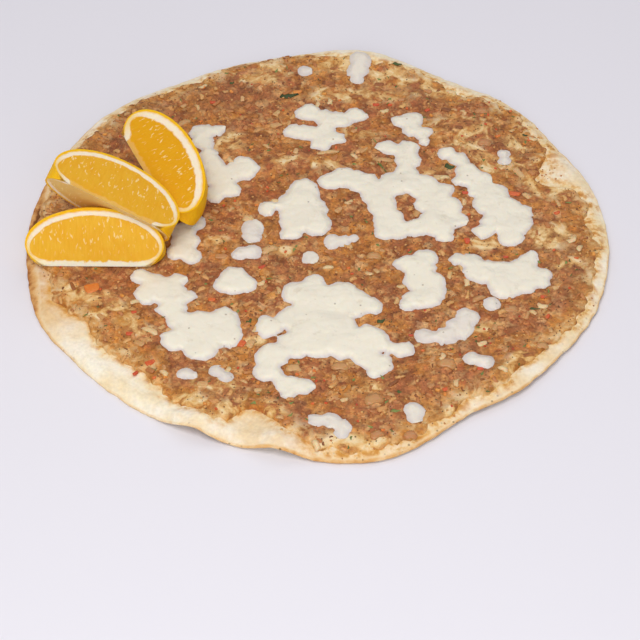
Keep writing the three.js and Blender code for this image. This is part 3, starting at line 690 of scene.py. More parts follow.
def scatter_tree():
    """Strews copies of a small object over a surface, each with its own turn, size and tone."""
    tree = bpy.data.node_groups.new("strewn_bits", "GeometryNodeTree")
    for name, kind in (
        ("Surface", "Geometry"), ("Bit", "Object"), ("Where", "String"), ("Per Square Metre", "Float"),
        ("Smallest", "Float"), ("Largest", "Float"), ("Tumble", "Float"), ("Seed", "Int"),
        ("Finish", "Material"),
    ):
        tree.interface.new_socket(name, in_out="INPUT", socket_type="NodeSocket" + kind)
    tree.interface.new_socket("Bits", in_out="OUTPUT", socket_type="NodeSocketGeometry")
    given = add(tree, "NodeGroupInput").outputs
    where = add(tree, "GeometryNodeInputNamedAttribute", {"Name": given["Where"]}, data_type="FLOAT")
    density = add(tree, "ShaderNodeMath", {0: where.outputs["Attribute"], 1: given["Per Square Metre"]},
                  operation="MULTIPLY")
    spots = add(tree, "GeometryNodeDistributePointsOnFaces",
                {"Mesh": given["Surface"], "Density": density.outputs[0], "Seed": given["Seed"]})
    most = add(tree, "ShaderNodeCombineXYZ", {0: given["Tumble"], 1: given["Tumble"], 2: math.pi})
    least = add(tree, "ShaderNodeVectorMath", {0: most.outputs[0], "Scale": -1.0}, operation="SCALE")
    turn = add(tree, "FunctionNodeRandomValue",
               {0: least.outputs[0], 1: most.outputs[0], "Seed": given["Seed"]}, data_type="FLOAT_VECTOR")
    turn = add(tree, "FunctionNodeEulerToRotation", {0: turn.outputs[0]})
    turn = add(tree, "FunctionNodeRotateRotation", {0: spots.outputs["Rotation"], 1: turn.outputs[0]},
               rotation_space="LOCAL")
    size = add(tree, "FunctionNodeRandomValue",
               {2: given["Smallest"], 3: given["Largest"], "Seed": given["Seed"]}, data_type="FLOAT")
    shape = add(tree, "GeometryNodeObjectInfo", {"Object": given["Bit"]})
    copies = add(tree, "GeometryNodeInstanceOnPoints",
                 {"Points": spots.outputs["Points"], "Instance": shape.outputs["Geometry"],
                  "Rotation": turn.outputs[0], "Scale": size.outputs[1]})
    tone = add(tree, "FunctionNodeRandomValue", {"Seed": given["Seed"]}, data_type="FLOAT")
    toned = add(tree, "GeometryNodeStoreNamedAttribute",
                {"Geometry": copies.outputs[0], "Name": "tone", "Value": tone.outputs[1]},
                data_type="FLOAT", domain="INSTANCE")
    real = add(tree, "GeometryNodeRealizeInstances", {"Geometry": toned.outputs[0]})
    done = add(tree, "GeometryNodeSetMaterial", {"Geometry": real.outputs[0], "Material": given["Finish"]})
    add(tree, "NodeGroupOutput", {0: done.outputs[0]})
    return tree


def bit_finish(name, stops, rough, through=0.1):
    """A finish for baked bits, whose colour goes by the tone of each bit."""
    finish, nodes, shader = finish_named(name)
    tone = add(nodes, "ShaderNodeAttribute", attribute_name="tone")
    place = add(nodes, "ShaderNodeTexCoord").outputs["Object"]
    flecks = add(nodes, "ShaderNodeTexNoise", {"Vector": place, "Scale": 1 / (0.9 * MM), "Detail": 3.0})
    tone = add(nodes, "ShaderNodeMath", {0: flecks.outputs[0], 1: 0.5, 2: tone.outputs["Fac"]},
               operation="MULTIPLY_ADD")
    tone = add(nodes, "ShaderNodeMath", {0: tone.outputs[0], 1: 0.25}, operation="SUBTRACT")
    colour = add(nodes, "ShaderNodeValToRGB", {0: tone.outputs[0]}, stops=stops)
    nodes.links.new(colour.outputs[0], shader.inputs["Base Color"])
    shader.inputs["Roughness"].default_value = rough
    shader.inputs["Subsurface Weight"].default_value = through
    shader.inputs["Subsurface Scale"].default_value = 1 * MM
    return finish


def strewn(name, carrier, bit, **values):
    """A piece made of copies of a bit, strewn over its carrier."""
    piece = bpy.data.objects.new(name, carrier.data)
    bpy.context.scene.collection.objects.link(piece)
    modifier = piece.modifiers.new("strewn", "NODES")
    modifier.node_group = strewn_tree
    given = [item for item in strewn_tree.interface.items_tree if item.in_out == "INPUT"]
    sockets = {item.name: item.identifier for item in given}
    values["Bit"] = bit
    for key, value in values.items():
        modifier[sockets[key.replace("_", " ")]] = value
    bpy.context.view_layer.update()
    evaluated = piece.evaluated_get(bpy.context.evaluated_depsgraph_get())
    mesh = bpy.data.meshes.new_from_object(evaluated)
    piece.modifiers.clear()
    piece.data = mesh
    mesh.name = name
    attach(piece, "root")
    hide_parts("minced_topping")


def laid(name, bit, finish, spots):
    """A piece made of copies of a bit, each at its x, y, length, width, height, turn and tone."""
    points = []
    faces = []
    tones = []
    shape = np.array([v.co for v in bit.data.vertices])
    for x, y, long, wide, high, turn, tone in spots:
        c = math.cos(math.radians(turn))
        s = math.sin(math.radians(turn))
        u, v, w = (shape * [long, wide, high]).T
        z = float(mince_top(np.array([x * MM]), np.array([y * MM]))[0])
        faces += [[len(points) + k for k in face.vertices] for face in bit.data.polygons]
        points += np.stack([x * MM + u * c - v * s, y * MM + u * s + v * c, z + w], -1).tolist()
        tones += [tone] * len(shape)
    piece = make_piece(name, points, faces, tone=tones)
    piece.data.materials.append(finish)
    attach(piece, "root")
    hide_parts("minced_topping")


strewn_tree = scatter_tree()
crumb = lump("crumb_shape", (1.3, 0.9, 0.36), 2, 0.15, 71)
shred = lump("shred_shape", (1.9, 0.7, 0.4), 2, 0.17, 75)
grit = lump("grit_shape", (1.0, 0.8, 0.5), 1, 0.2, 72)
flake = lump("flake_shape", (1.5, 0.7, 0.16), 2, 0.2, 73)
cube = die("cube_shape", (1.0, 0.85, 0.6), 74)

# Browned meat: dry at the tips, oily below, from dark brown to tan.
meat = bit_finish("browned_meat_crumbs", [
    (0.05, "#7C4722"), (0.3, "#9C5E2F"), (0.5, "#B2703A"), (0.7, "#BE7C48"), (0.85, "#CB8E50"),
    (1.0, "#DCAA68")], 0.5)
# Softened onion: glassy, pale pink to yellow.
onion = bit_finish("soft_onion", [
    (0.1, "#C08552"), (0.4, "#C5925A"), (0.7, "#D2A76F"), (0.95, "#E3C594")], 0.35, 0.3)
# Sweet pepper: wet and bright, orange to red.
pepper = bit_finish("sweet_pepper", [
    (0.1, "#B8422A"), (0.45, "#CF5428"), (0.7, "#DA742F"), (0.95, "#E09A45")], 0.38)
# Parsley: thin leaf, dried to a dull dark green.
parsley = bit_finish("baked_parsley", [(0.1, "#39451F"), (0.5, "#55682B"), (0.9, "#7F8B45")], 0.6)
# Char and black pepper.
char = bit_finish("burnt_specks", [(0.1, "#33241A"), (0.6, "#4C3524"), (0.95, "#6E4B2E")], 0.6, 0)

strewn("meat_crumbs", mince, crumb, Where="meaty", Per_Square_Metre=11000.0, Smallest=1.2, Largest=3.0,
       Tumble=0.25, Seed=1, Finish=meat)
strewn("meat_shreds", mince, shred, Where="meaty", Per_Square_Metre=6000.0, Smallest=1.0, Largest=2.6,
       Tumble=0.25, Seed=8, Finish=meat)
strewn("meat_grains", mince, grit, Where="meaty", Per_Square_Metre=90000.0, Smallest=0.6, Largest=1.5,
       Tumble=0.5, Seed=2, Finish=meat)
strewn("onion_bits", mince, crumb, Where="meaty", Per_Square_Metre=6500.0, Smallest=1.2, Largest=3.6,
       Tumble=0.2, Seed=3, Finish=onion)
strewn("pepper_bits", mince, cube, Where="bare", Per_Square_Metre=3600.0, Smallest=0.8, Largest=1.9,
       Tumble=0.4, Seed=4, Finish=pepper)
strewn("parsley_flakes", mince, flake, Where="bare", Per_Square_Metre=5200.0, Smallest=0.7, Largest=1.9,
       Tumble=0.5, Seed=5, Finish=parsley)
strewn("char_specks", mince, grit, Where="bare", Per_Square_Metre=42000.0, Smallest=0.35, Largest=0.9,
       Tumble=0.5, Seed=6, Finish=char)
strewn("rim_crumbs", bread, grit, Where="crumbed", Per_Square_Metre=45000.0, Smallest=0.5, Largest=1.5,
       Tumble=0.4, Seed=7, Finish=meat)

laid("sweet_pepper_pieces", cube, pepper, [
    (-101, -39, 6, 7, 1.5, 20, 0.75), (-72, -85, 4, 3.4, 1.4, 30, 0.5), (-82, -68, 3, 2.4, 1.3, 0, 0.4),
    (-78, -90, 2.6, 2, 1.2, 50, 0.3), (-81, -55, 2.2, 2, 1.2, 10, 0.4), (-33, -73, 3, 5, 1.5, -20, 0.55),
    (-47, -46, 3, 2.6, 1.3, 0, 0.6), (-25, -25, 3, 2.4, 1.3, 30, 0.3), (-52, 92, 2.6, 2.2, 1.2, 0, 0.4),
    (-10, 101, 4, 3.2, 1.5, 15, 0.85), (29, 90, 3, 2.4, 1.3, 0, 0.4), (36, 90, 2, 2, 1.2, 0, 0.5),
    (54.5, 87, 2.6, 2.2, 1.3, 40, 0.4), (104, 65, 3.6, 3, 1.5, 0, 0.6), (93, 25, 5, 3.6, 1.6, -10, 0.55),
    (112, 11, 3, 2.4, 1.3, 30, 0.5), (86, -18.5, 2.2, 1.8, 1.2, 0, 0.3), (101, -45, 2.6, 2.2, 1.3, 0, 0.5),
    (102, -57, 2.6, 2, 1.3, 60, 0.5), (49, -53, 3.2, 1.2, 1.2, 10, 0.15), (70, -90, 2.6, 2.2, 1.3, 0, 0.4),
    (55, -101, 3, 2.4, 1.3, 20, 0.5), (70, 25, 3, 2.4, 1.3, 0, 0.35), (69, -8, 2.4, 4.6, 1.4, 10, 0.45),
    (41, -68, 1.8, 1.6, 1.2, 0, 0.2), (118, -20, 2, 1.6, 1.2, 0, 0.6), (88, 66, 2.6, 2, 1.2, 30, 0.7)])
laid("parsley_pieces", flake, parsley, [
    (-15, 98, 5.5, 6, 5, 20, 0.1), (40, 122, 2.8, 3.4, 4, 0, 0.3), (30, 46, 6, 1.8, 4, -60, 0.6),
    (63, 44, 2.8, 6, 4, 10, 0.2), (28, -60, 2.2, 3.6, 4, 40, 0.2), (96, -52, 2.8, 2, 3, 0, 0.2),
    (33, -112.5, 2.8, 2.6, 3, 10, 0.9), (-43, 107, 1.5, 2.4, 3, 30, 0.3),
    (101, 68, 1.5, 2.4, 3, 0, 0.1), (35, -102, 1.5, 2.4, 3, 0, 0.4), (-30, -60, 2, 3, 3, 70, 0.3)])
laid("onion_pieces", cube, onion, [
    (-44, -18, 5, 3.4, 1.4, 0, 0.2), (72, -74, 4, 3.4, 1.4, 20, 0.9),
    (96, 40, 7, 4, 1.3, -60, 0.7), (58, 36, 5, 4, 1.3, 0, 0.8), (-20, 76, 6, 4, 1.3, 20, 0.6),
    (-64, -66, 5, 3, 1.3, -30, 0.8), (12, -72, 4, 3, 1.3, 0, 0.8), (108, -38, 5, 3, 1.3, 30, 0.7)])
laid("soft_onion_pieces", crumb, onion, [
    (10, -87, 5.5, 6, 3, 0, 0.35), (24, -106, 6, 8, 3, 20, 0.3), (56, -86.5, 6, 7.5, 3, -10, 0.3),
    (39, -126, 4, 6, 2.5, 0, 0.05), (25, -126, 4.5, 6, 2.5, 30, 0.1), (-10, -88, 5, 6, 3, 0, 0.6),
    (-29, -73, 4, 5, 3, 70, 0.7), (81, 61.5, 5, 7, 3, 0, 0.02), (81, 85, 5, 6, 3, 0, 0.05),
    (-66, 78, 6, 5, 3, 40, 0.55), (-73, -66, 6, 4, 3, -30, 0.9), (-62, -75, 4, 4, 3, 0, 0.6),
    (-22, -13, 6, 6, 3, 30, 0.7), (26, -17, 5, 6, 3, 0, 0.35), (-32, 8, 4, 6, 3, 0, 0.8),
    (5, 55, 8, 3.4, 3, 10, 0.75), (32, 49, 7, 4, 3, -5, 0.5), (47, 12, 5, 5, 3, 60, 0.4),
    (86, -52, 5, 6, 3, 0, 0.2), (72, -46, 5, 4, 3, 30, 0.3), (98, -75, 4, 5, 3, 0, 0.4)])

# Diced onion and meat, on the golden-angle spiral where the frame has its dice
GOLDEN_ANGLE = 137.508
DICE_SPOTS = 170
DICE_REACH = 116 * MM
DICE_SIZES = [(3.6, 3, 2), (4.8, 2.2, 1.8), (3, 2.6, 1.8), (4.2, 3.4, 1.8)]
DIE_SHOWS = 0.45 * MM  # a die is there where the frame's topping stands out this far

dice = []
for k in range(DICE_SPOTS):
    r = DICE_REACH * math.sqrt((k + 0.5) / DICE_SPOTS)
    x = r * math.cos(math.radians(GOLDEN_ANGLE * k))
    y = r * math.sin(math.radians(GOLDEN_ANGLE * k))
    stands = cast(mince_tree, x, y) - float(level(np.array([x]), np.array([y]))[0])
    if stands > DIE_SHOWS and cast(cover_tree, x, y) is None:
        dice.append((x / MM, y / MM, *DICE_SIZES[k % 4], 137 * k % 180, 0.15 + 0.7 * (k % 7) / 6))
laid("diced_onion", cube, onion, dice[::2])
laid("diced_meat", cube, meat, dice[1::2])
for shape in (crumb, shred, grit, flake, cube):
    bpy.data.objects.remove(shape)


# Melted cheese
# White cheese grated over the hot topping in shreds, which ran together into soft patches.
# Each patch is creamy in the middle, and thin, cool white and frilled where it spread.
CHEESE_VOXEL = 0.5 * MM  # spacing of its points
CHEESE_SMOOTHING = 10  # passes that melt its corners
CHEESE_SETTLES = 0.45 * MM  # its underside closes the gap to the topping
CHEESE_DRAPE = 0.6  # how closely it follows the lumps under it
CHEESE_FRILLS = ((6 * MM, 0.9 * MM), (3 * MM, 0.4 * MM), (1.6 * MM, 0.15 * MM))  # size, reach
CHEESE_SPREAD = 3.2 * MM  # it thins out over this distance from its edge
THIN_PATCHES = {5, 6, 8, 9, 14, 15, 16, 19, 20, 21, 23, 24, 25, 26}  # spread to a film
LEMON_SIDE = -0.04  # patches that reach past this x may touch a wedge

# Melted white cheese: smooth, milky and slightly glossy, and faintly see-through where it is thin.
milky, nodes, shader = finish_named("melted_white_cheese")
place = add(nodes, "ShaderNodeTexCoord").outputs["Object"]
soft = add(nodes, "ShaderNodeTexNoise", {"Vector": place, "Scale": 1 / (7 * MM), "Detail": 4.0})
thick = add(nodes, "ShaderNodeAttribute", attribute_name="thick")
depth = add(nodes, "ShaderNodeMath", {0: soft.outputs[0], 1: 0.5, 2: thick.outputs["Fac"]},
            operation="MULTIPLY_ADD")
colour = add(nodes, "ShaderNodeValToRGB", {0: depth.outputs[0]},
             stops=[(0.2, "#D9CEC8"), (0.42, "#E1D8D0"), (0.7, "#E9E1D2"), (1.0, "#EEE7D5")])
glassy = add(nodes, "ShaderNodeTexNoise",
             {"Vector": place, "Scale": 1 / (5 * MM), "Detail": 4.0, "Roughness": 0.6})
see_through = add(nodes, "ShaderNodeMapRange", {0: glassy.outputs[0], 1: 0.6, 2: 0.72, 3: 0.0, 4: 0.35})
colour = add(nodes, "ShaderNodeMix", {0: see_through.outputs[0], 6: colour.outputs[0], 7: "#CDBFA6"},
             data_type="RGBA")
specks = add(nodes, "ShaderNodeTexVoronoi", {"Vector": place, "Scale": 1 / (4 * MM)})
picked = add(nodes, "ShaderNodeSeparateColor", {0: specks.outputs["Color"]})
chosen = add(nodes, "ShaderNodeMapRange", {0: picked.outputs[0], 1: 0.8, 2: 0.82})
dot = add(nodes, "ShaderNodeMapRange", {0: specks.outputs["Distance"], 1: 0.15, 2: 0.07, 3: 0.0, 4: 0.6})
dot = add(nodes, "ShaderNodeMath", {0: chosen.outputs[0], 1: dot.outputs[0]}, operation="MULTIPLY")
colour = add(nodes, "ShaderNodeMix", {0: dot.outputs[0], 6: colour.outputs[2], 7: "#8A7460"},
             data_type="RGBA")
nodes.links.new(colour.outputs[2], shader.inputs["Base Color"])
fine = add(nodes, "ShaderNodeTexNoise", {"Vector": place, "Scale": 1 / (1.5 * MM), "Detail": 3.0})
bump = add(nodes, "ShaderNodeBump", {"Height": fine.outputs[0], "Strength": 0.25, "Distance": 0.2 * MM})
nodes.links.new(bump.outputs[0], shader.inputs["Normal"])
shader.inputs["Roughness"].default_value = 0.42
shader.inputs["Specular IOR Level"].default_value = 0.4
shader.inputs["Subsurface Weight"].default_value = 0.35
shader.inputs["Subsurface Radius"].default_value = (1.0, 0.8, 0.6)
shader.inputs["Subsurface Scale"].default_value = 1.5 * MM

lemon_tree = tree_of(*lemon_names)


def keep_clear(points, tree, gap):
    """Moves the points that lie in a solid out to just past its surface."""
    for k, point in enumerate(points):
        nearest, normal, _, _ = tree.find_nearest(Vector(point), 3 * MM)
        if nearest is not None and (Vector(point) - nearest).dot(normal) < gap:
            points[k] = nearest + normal * gap
    return points


def frills(x, y, seed):
    """How far the edge of the cheese strays, in waves of a few sizes."""
    return sum(by * waves(x, y, size, seed + 2 * k) for k, (size, by) in enumerate(CHEESE_FRILLS))


for number, name in enumerate(cheese_names, 1):
    shell = bmesh.new()
    shell.from_mesh(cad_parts[name].data)
    bmesh.ops.remove_doubles(shell, verts=shell.verts, dist=0.002 * MM)
    mesh = bpy.data.meshes.new(f"melted_cheese_{number:02d}")
    shell.to_mesh(mesh)
    shell.free()
    patch = bpy.data.objects.new(mesh.name, mesh)
    bpy.context.scene.collection.objects.link(patch)
    voxels = patch.modifiers.new("voxels", "REMESH")
    voxels.mode = "VOXEL"
    voxels.voxel_size = CHEESE_VOXEL
    soften = patch.modifiers.new("soften", "SMOOTH")
    soften.factor = 0.5
    soften.iterations = CHEESE_SMOOTHING
    bpy.context.view_layer.update()
    finer = bpy.data.meshes.new_from_object(patch.evaluated_get(bpy.context.evaluated_depsgraph_get()))
    patch.modifiers.clear()
    patch.data = finer
    finer.name = mesh.name
    bpy.data.meshes.remove(mesh)

    points = np.zeros(len(finer.vertices) * 3)
    finer.vertices.foreach_get("co", points)
    points = points.reshape(-1, 3)
    x, y, z = points.T
    above_mince = z - level(x, y)
    sides = [v.co for v in finer.vertices if abs(v.normal.z) < 0.4]
    walls = KDTree(len(sides))
    for k, side in enumerate(sides):
        walls.insert((side.x, side.y, 0), k)
    walls.balance()
    inward = np.array([walls.find((a, b, 0))[2] for a, b in zip(x, y)])
    spread = 0.35 + 0.65 * ease(0, CHEESE_SPREAD, inward)
    frill = ease(4 * MM, 26 * MM, min(np.ptp(x), np.ptp(y)))
    new_x = x + frill * frills(x, y, 41)
    new_y = y + frill * frills(x, y, 42)
    upper = ease(0.35 * MM, 0.9 * MM, above_mince)
    relief = 0.15 * waves(x, y, 6 * MM, 51) + 0.05 * waves(x, y, 2.4 * MM, 52)
    bed = CHEESE_DRAPE * mince_top(new_x, new_y) + (1 - CHEESE_DRAPE) * level(new_x, new_y)
    new_z = bed + above_mince * spread + upper * relief * MM - (1 - upper) * CHEESE_SETTLES
    points = np.stack([new_x, new_y, new_z], -1)
    if x.min() < LEMON_SIDE:
        points = keep_clear(points, lemon_tree, 0.1 * MM)
    finer.vertices.foreach_set("co", points.ravel())
    full = 0.35 if number in THIN_PATCHES else 1
    layer = finer.attributes.new("thick", "FLOAT", "POINT")
    layer.data.foreach_set("value", (full * ease(0.2 * MM, 2.8 * MM, inward)).astype(np.float32))
    finer.polygons.foreach_set("use_smooth", np.ones(len(finer.polygons), bool))
    finer.materials.clear()
    finer.materials.append(milky)
    finer.update()
    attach(patch, "root")
    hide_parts(name)


# Lemon wedges
# A lemon cut lengthwise into sixths. Each wedge has waxy yellow zest, a band of white pith, and
# flesh of long juice sacs that point to the core. One lies on a cut face, one is rolled back on its
# peel, and the third leans on both.
WEDGE_SHOULDER = 10 * MM  # a wedge is longest this far from its core edge
WEDGE_END = 15.7 * MM  # half height of the oval that its ends follow back to the core edge
WEDGE_COLUMNS = 190  # points round the rim of a cut face
WEDGE_ROWS = 74  # points from the core edge out to the rim
WEDGE_TURNS = 44  # points across the peel, from one cut face to the other
WEDGE_CORE_SHARE = 0.8  # the juice sacs fan out from this share of its length
ZEST = 1.5 * MM  # thickness of the zest
SAC = 1.3 * MM  # width of a juice sac
SAC_STRETCH = 5  # how many times as long as wide a sac is
# Each wedge has its place, its turns and the angle between its cut faces in degrees, its half length
# and depth, how thick its pith is, how deep a yellow its flesh is, and how much paler its lower cut
# face is painted, as painted light where that face lies in shade.
WEDGES = {
    "lemon_wedge_front": dict(
        x=-100.7, y=-25.5, heading=-1, tilt=0, pitch=-0.5, angle=59, half=31.5, depth=27,
        pith=2.1, deep=0.0, membrane=0.0),
    "lemon_wedge_back": dict(
        x=-80.2, y=20.3, heading=-62.8, tilt=40, pitch=7.8, angle=60, half=33.2, depth=26.3,
        pith=3.3, deep=0.75, membrane=0.3),
    "lemon_wedge_middle": dict(
        x=-92.1, y=-15.1, heading=-12.8, tilt=62.5, pitch=24.6, angle=61, half=30.8, depth=29.8,
        pith=2.1, deep=0.35, membrane=0.75),
}

# Fresh cut lemon: waxy pitted zest, dry spongy pith, and wet flesh with pale glints painted on its sacs as
# painted highlights.
# The peel attribute is 0 on the skin, 1 where the pith begins and 2 where the flesh begins.
rind, nodes, shader = finish_named("cut_fresh_lemon")
peel_in = add(nodes, "ShaderNodeAttribute", attribute_name="peel")
core_in = add(nodes, "ShaderNodeAttribute", attribute_name="from_core")
fan_in = add(nodes, "ShaderNodeAttribute", attribute_name="fan")
deep_in = add(nodes, "ShaderNodeAttribute", attribute_name="deep")
place = add(nodes, "ShaderNodeTexCoord").outputs["Object"]
blur = add(nodes, "ShaderNodeTexNoise", {"Vector": place, "Scale": 1 / (3 * MM), "Detail": 3.0})
wander = add(nodes, "ShaderNodeMapRange", {0: blur.outputs[0], 1: 0.3, 2: 0.7, 3: -0.12, 4: 0.12})
layer = add(nodes, "ShaderNodeMath", {0: peel_in.outputs["Fac"], 1: wander.outputs[0]}, operation="ADD")
to_pith = add(nodes, "ShaderNodeMapRange", {0: layer.outputs[0], 1: 0.7, 2: 1.2})
# Zest, and pith that turns yellow towards the tips of the wedge
tip_in = add(nodes, "ShaderNodeAttribute", attribute_name="tip")
zest = add(nodes, "ShaderNodeMix", {0: blur.outputs[0], 6: "#F0B010", 7: "#F8C51E"}, data_type="RGBA")
pith = add(nodes, "ShaderNodeMix", {0: tip_in.outputs["Fac"], 6: "#F6E7CC", 7: "#F0CF83"}, data_type="RGBA")
colour = add(nodes, "ShaderNodeMix", {0: to_pith.outputs[0], 6: zest.outputs[2], 7: pith.outputs[2]},
             data_type="RGBA")
# Flesh streaked along its juice sacs, deeper in patches, and painted light on the shaded lower cut face
sac_lines = add(nodes, "ShaderNodeCombineXYZ", {0: fan_in.outputs["Fac"], 1: core_in.outputs["Fac"]})
stretch = add(nodes, "ShaderNodeMapping",
              {"Vector": sac_lines.outputs[0], "Scale": (1, 1 / SAC_STRETCH, 1)})
sacs = add(nodes, "ShaderNodeTexNoise", {"Vector": stretch.outputs[0], "Scale": 1 / SAC, "Detail": 2.0})
flesh = add(nodes, "ShaderNodeValToRGB", {0: sacs.outputs[0]},
            stops=[(0.3, "#E8B026"), (0.5, "#EBB42B"), (0.7, "#EEBA36")])
juicy = add(nodes, "ShaderNodeTexNoise", {"Vector": place, "Scale": 1 / (8 * MM), "Detail": 3.0})
juicy = add(nodes, "ShaderNodeMapRange", {0: juicy.outputs[0], 1: 0.4, 2: 0.65, 3: 0.0, 4: 0.5})
flesh = add(nodes, "ShaderNodeMix", {0: juicy.outputs[0], 6: flesh.outputs[0], 7: "#E9A616"},
            data_type="RGBA")
flesh = add(nodes, "ShaderNodeMix", {0: deep_in.outputs["Fac"], 6: flesh.outputs[2], 7: "#E09E0A"},
            data_type="RGBA")
# Painted light: a paler colour over the lower cut face, which lies in shade
painted_light_in = add(nodes, "ShaderNodeAttribute", attribute_name="membrane")
flesh = add(nodes, "ShaderNodeMix", {0: painted_light_in.outputs["Fac"], 6: flesh.outputs[2], 7: "#EBCB83"},
            data_type="RGBA")
# Painted highlights: pale glints painted in the outer part of the flesh
short = add(nodes, "ShaderNodeMapping",
            {"Vector": sac_lines.outputs[0], "Rotation": (0, 0, 0.25), "Scale": (1, 0.42, 1)})
painted_glint_noise = add(nodes, "ShaderNodeTexNoise",
             {"Vector": short.outputs[0], "Scale": 1 / SAC, "Detail": 1.0, "Distortion": 0.6})
painted_glint_mask = add(nodes, "ShaderNodeMapRange", {0: painted_glint_noise.outputs[0], 1: 0.62, 2: 0.7, 3: 0.0, 4: 0.7})
far_out = add(nodes, "ShaderNodeMapRange", {0: core_in.outputs["Fac"], 1: 4 * MM, 2: 13 * MM})
painted_glint_mask = add(nodes, "ShaderNodeMath", {0: painted_glint_mask.outputs[0], 1: far_out.outputs[0]}, operation="MULTIPLY")
flesh = add(nodes, "ShaderNodeMix", {0: painted_glint_mask.outputs[0], 6: flesh.outputs[2], 7: "#FAE3A8"},
            data_type="RGBA")
to_flesh = add(nodes, "ShaderNodeMapRange", {0: layer.outputs[0], 1: 1.85, 2: 2.1})
colour = add(nodes, "ShaderNodeMix", {0: to_flesh.outputs[0], 6: colour.outputs[2], 7: flesh.outputs[2]},
             data_type="RGBA")
# A pale strip of core along the core edge
strip_in = add(nodes, "ShaderNodeAttribute", attribute_name="strip")
core_line = add(nodes, "ShaderNodeMath", {0: wander.outputs[0], 1: 6 * MM, 2: core_in.outputs["Fac"]},
                operation="MULTIPLY_ADD")
core_line = add(nodes, "ShaderNodeMapRange", {0: core_line.outputs[0], 1: 2.7 * MM, 2: 1.9 * MM})
core_line = add(nodes, "ShaderNodeMath", {0: core_line.outputs[0], 1: strip_in.outputs["Fac"]},
                operation="MULTIPLY")
inside = add(nodes, "ShaderNodeMath", {0: 1.0, 1: tip_in.outputs["Fac"]}, operation="SUBTRACT")
core_line = add(nodes, "ShaderNodeMath", {0: core_line.outputs[0], 1: inside.outputs[0]},
                operation="MULTIPLY")
colour = add(nodes, "ShaderNodeMix", {0: core_line.outputs[0], 6: colour.outputs[2], 7: "#F6EACB"},
             data_type="RGBA")
nodes.links.new(colour.outputs[2], shader.inputs["Base Color"])
wet = add(nodes, "ShaderNodeMapRange", {0: to_flesh.outputs[0], 3: 0.55, 4: 0.35})
nodes.links.new(wet.outputs[0], shader.inputs["Roughness"])
# Pits in the zest, and ribs in the flesh
pores = add(nodes, "ShaderNodeTexVoronoi", {"Vector": place, "Scale": 1 / (1.3 * MM)})
skin = add(nodes, "ShaderNodeMath", {0: 1.0, 1: to_pith.outputs[0]}, operation="SUBTRACT")
pitted = add(nodes, "ShaderNodeMath", {0: pores.outputs["Distance"], 1: skin.outputs[0]},
             operation="MULTIPLY")
ribs = add(nodes, "ShaderNodeMath", {0: sacs.outputs[0], 1: to_flesh.outputs[0], 2: pitted.outputs[0]},
           operation="MULTIPLY_ADD")
bump = add(nodes, "ShaderNodeBump", {"Height": ribs.outputs[0], "Strength": 0.45, "Distance": 0.3 * MM})
nodes.links.new(bump.outputs[0], shader.inputs["Normal"])
shader.inputs["Specular IOR Level"].default_value = 0.15
shader.inputs["Subsurface Weight"].default_value = 0.25
shader.inputs["Subsurface Radius"].default_value = (1.0, 0.7, 0.15)
shader.inputs["Subsurface Scale"].default_value = 3 * MM


def sheet_faces(start, columns, rows, flip):
    """Quads of a sheet of points listed column by column."""
    c, r = np.meshgrid(np.arange(columns - 1), np.arange(rows - 1), indexing="ij")
    a = start + c * rows + r
    quads = np.stack([a, a + rows, a + rows + 1, a + 1], -1).reshape(-1, 4)
    return (quads[:, ::-1] if flip else quads).tolist()


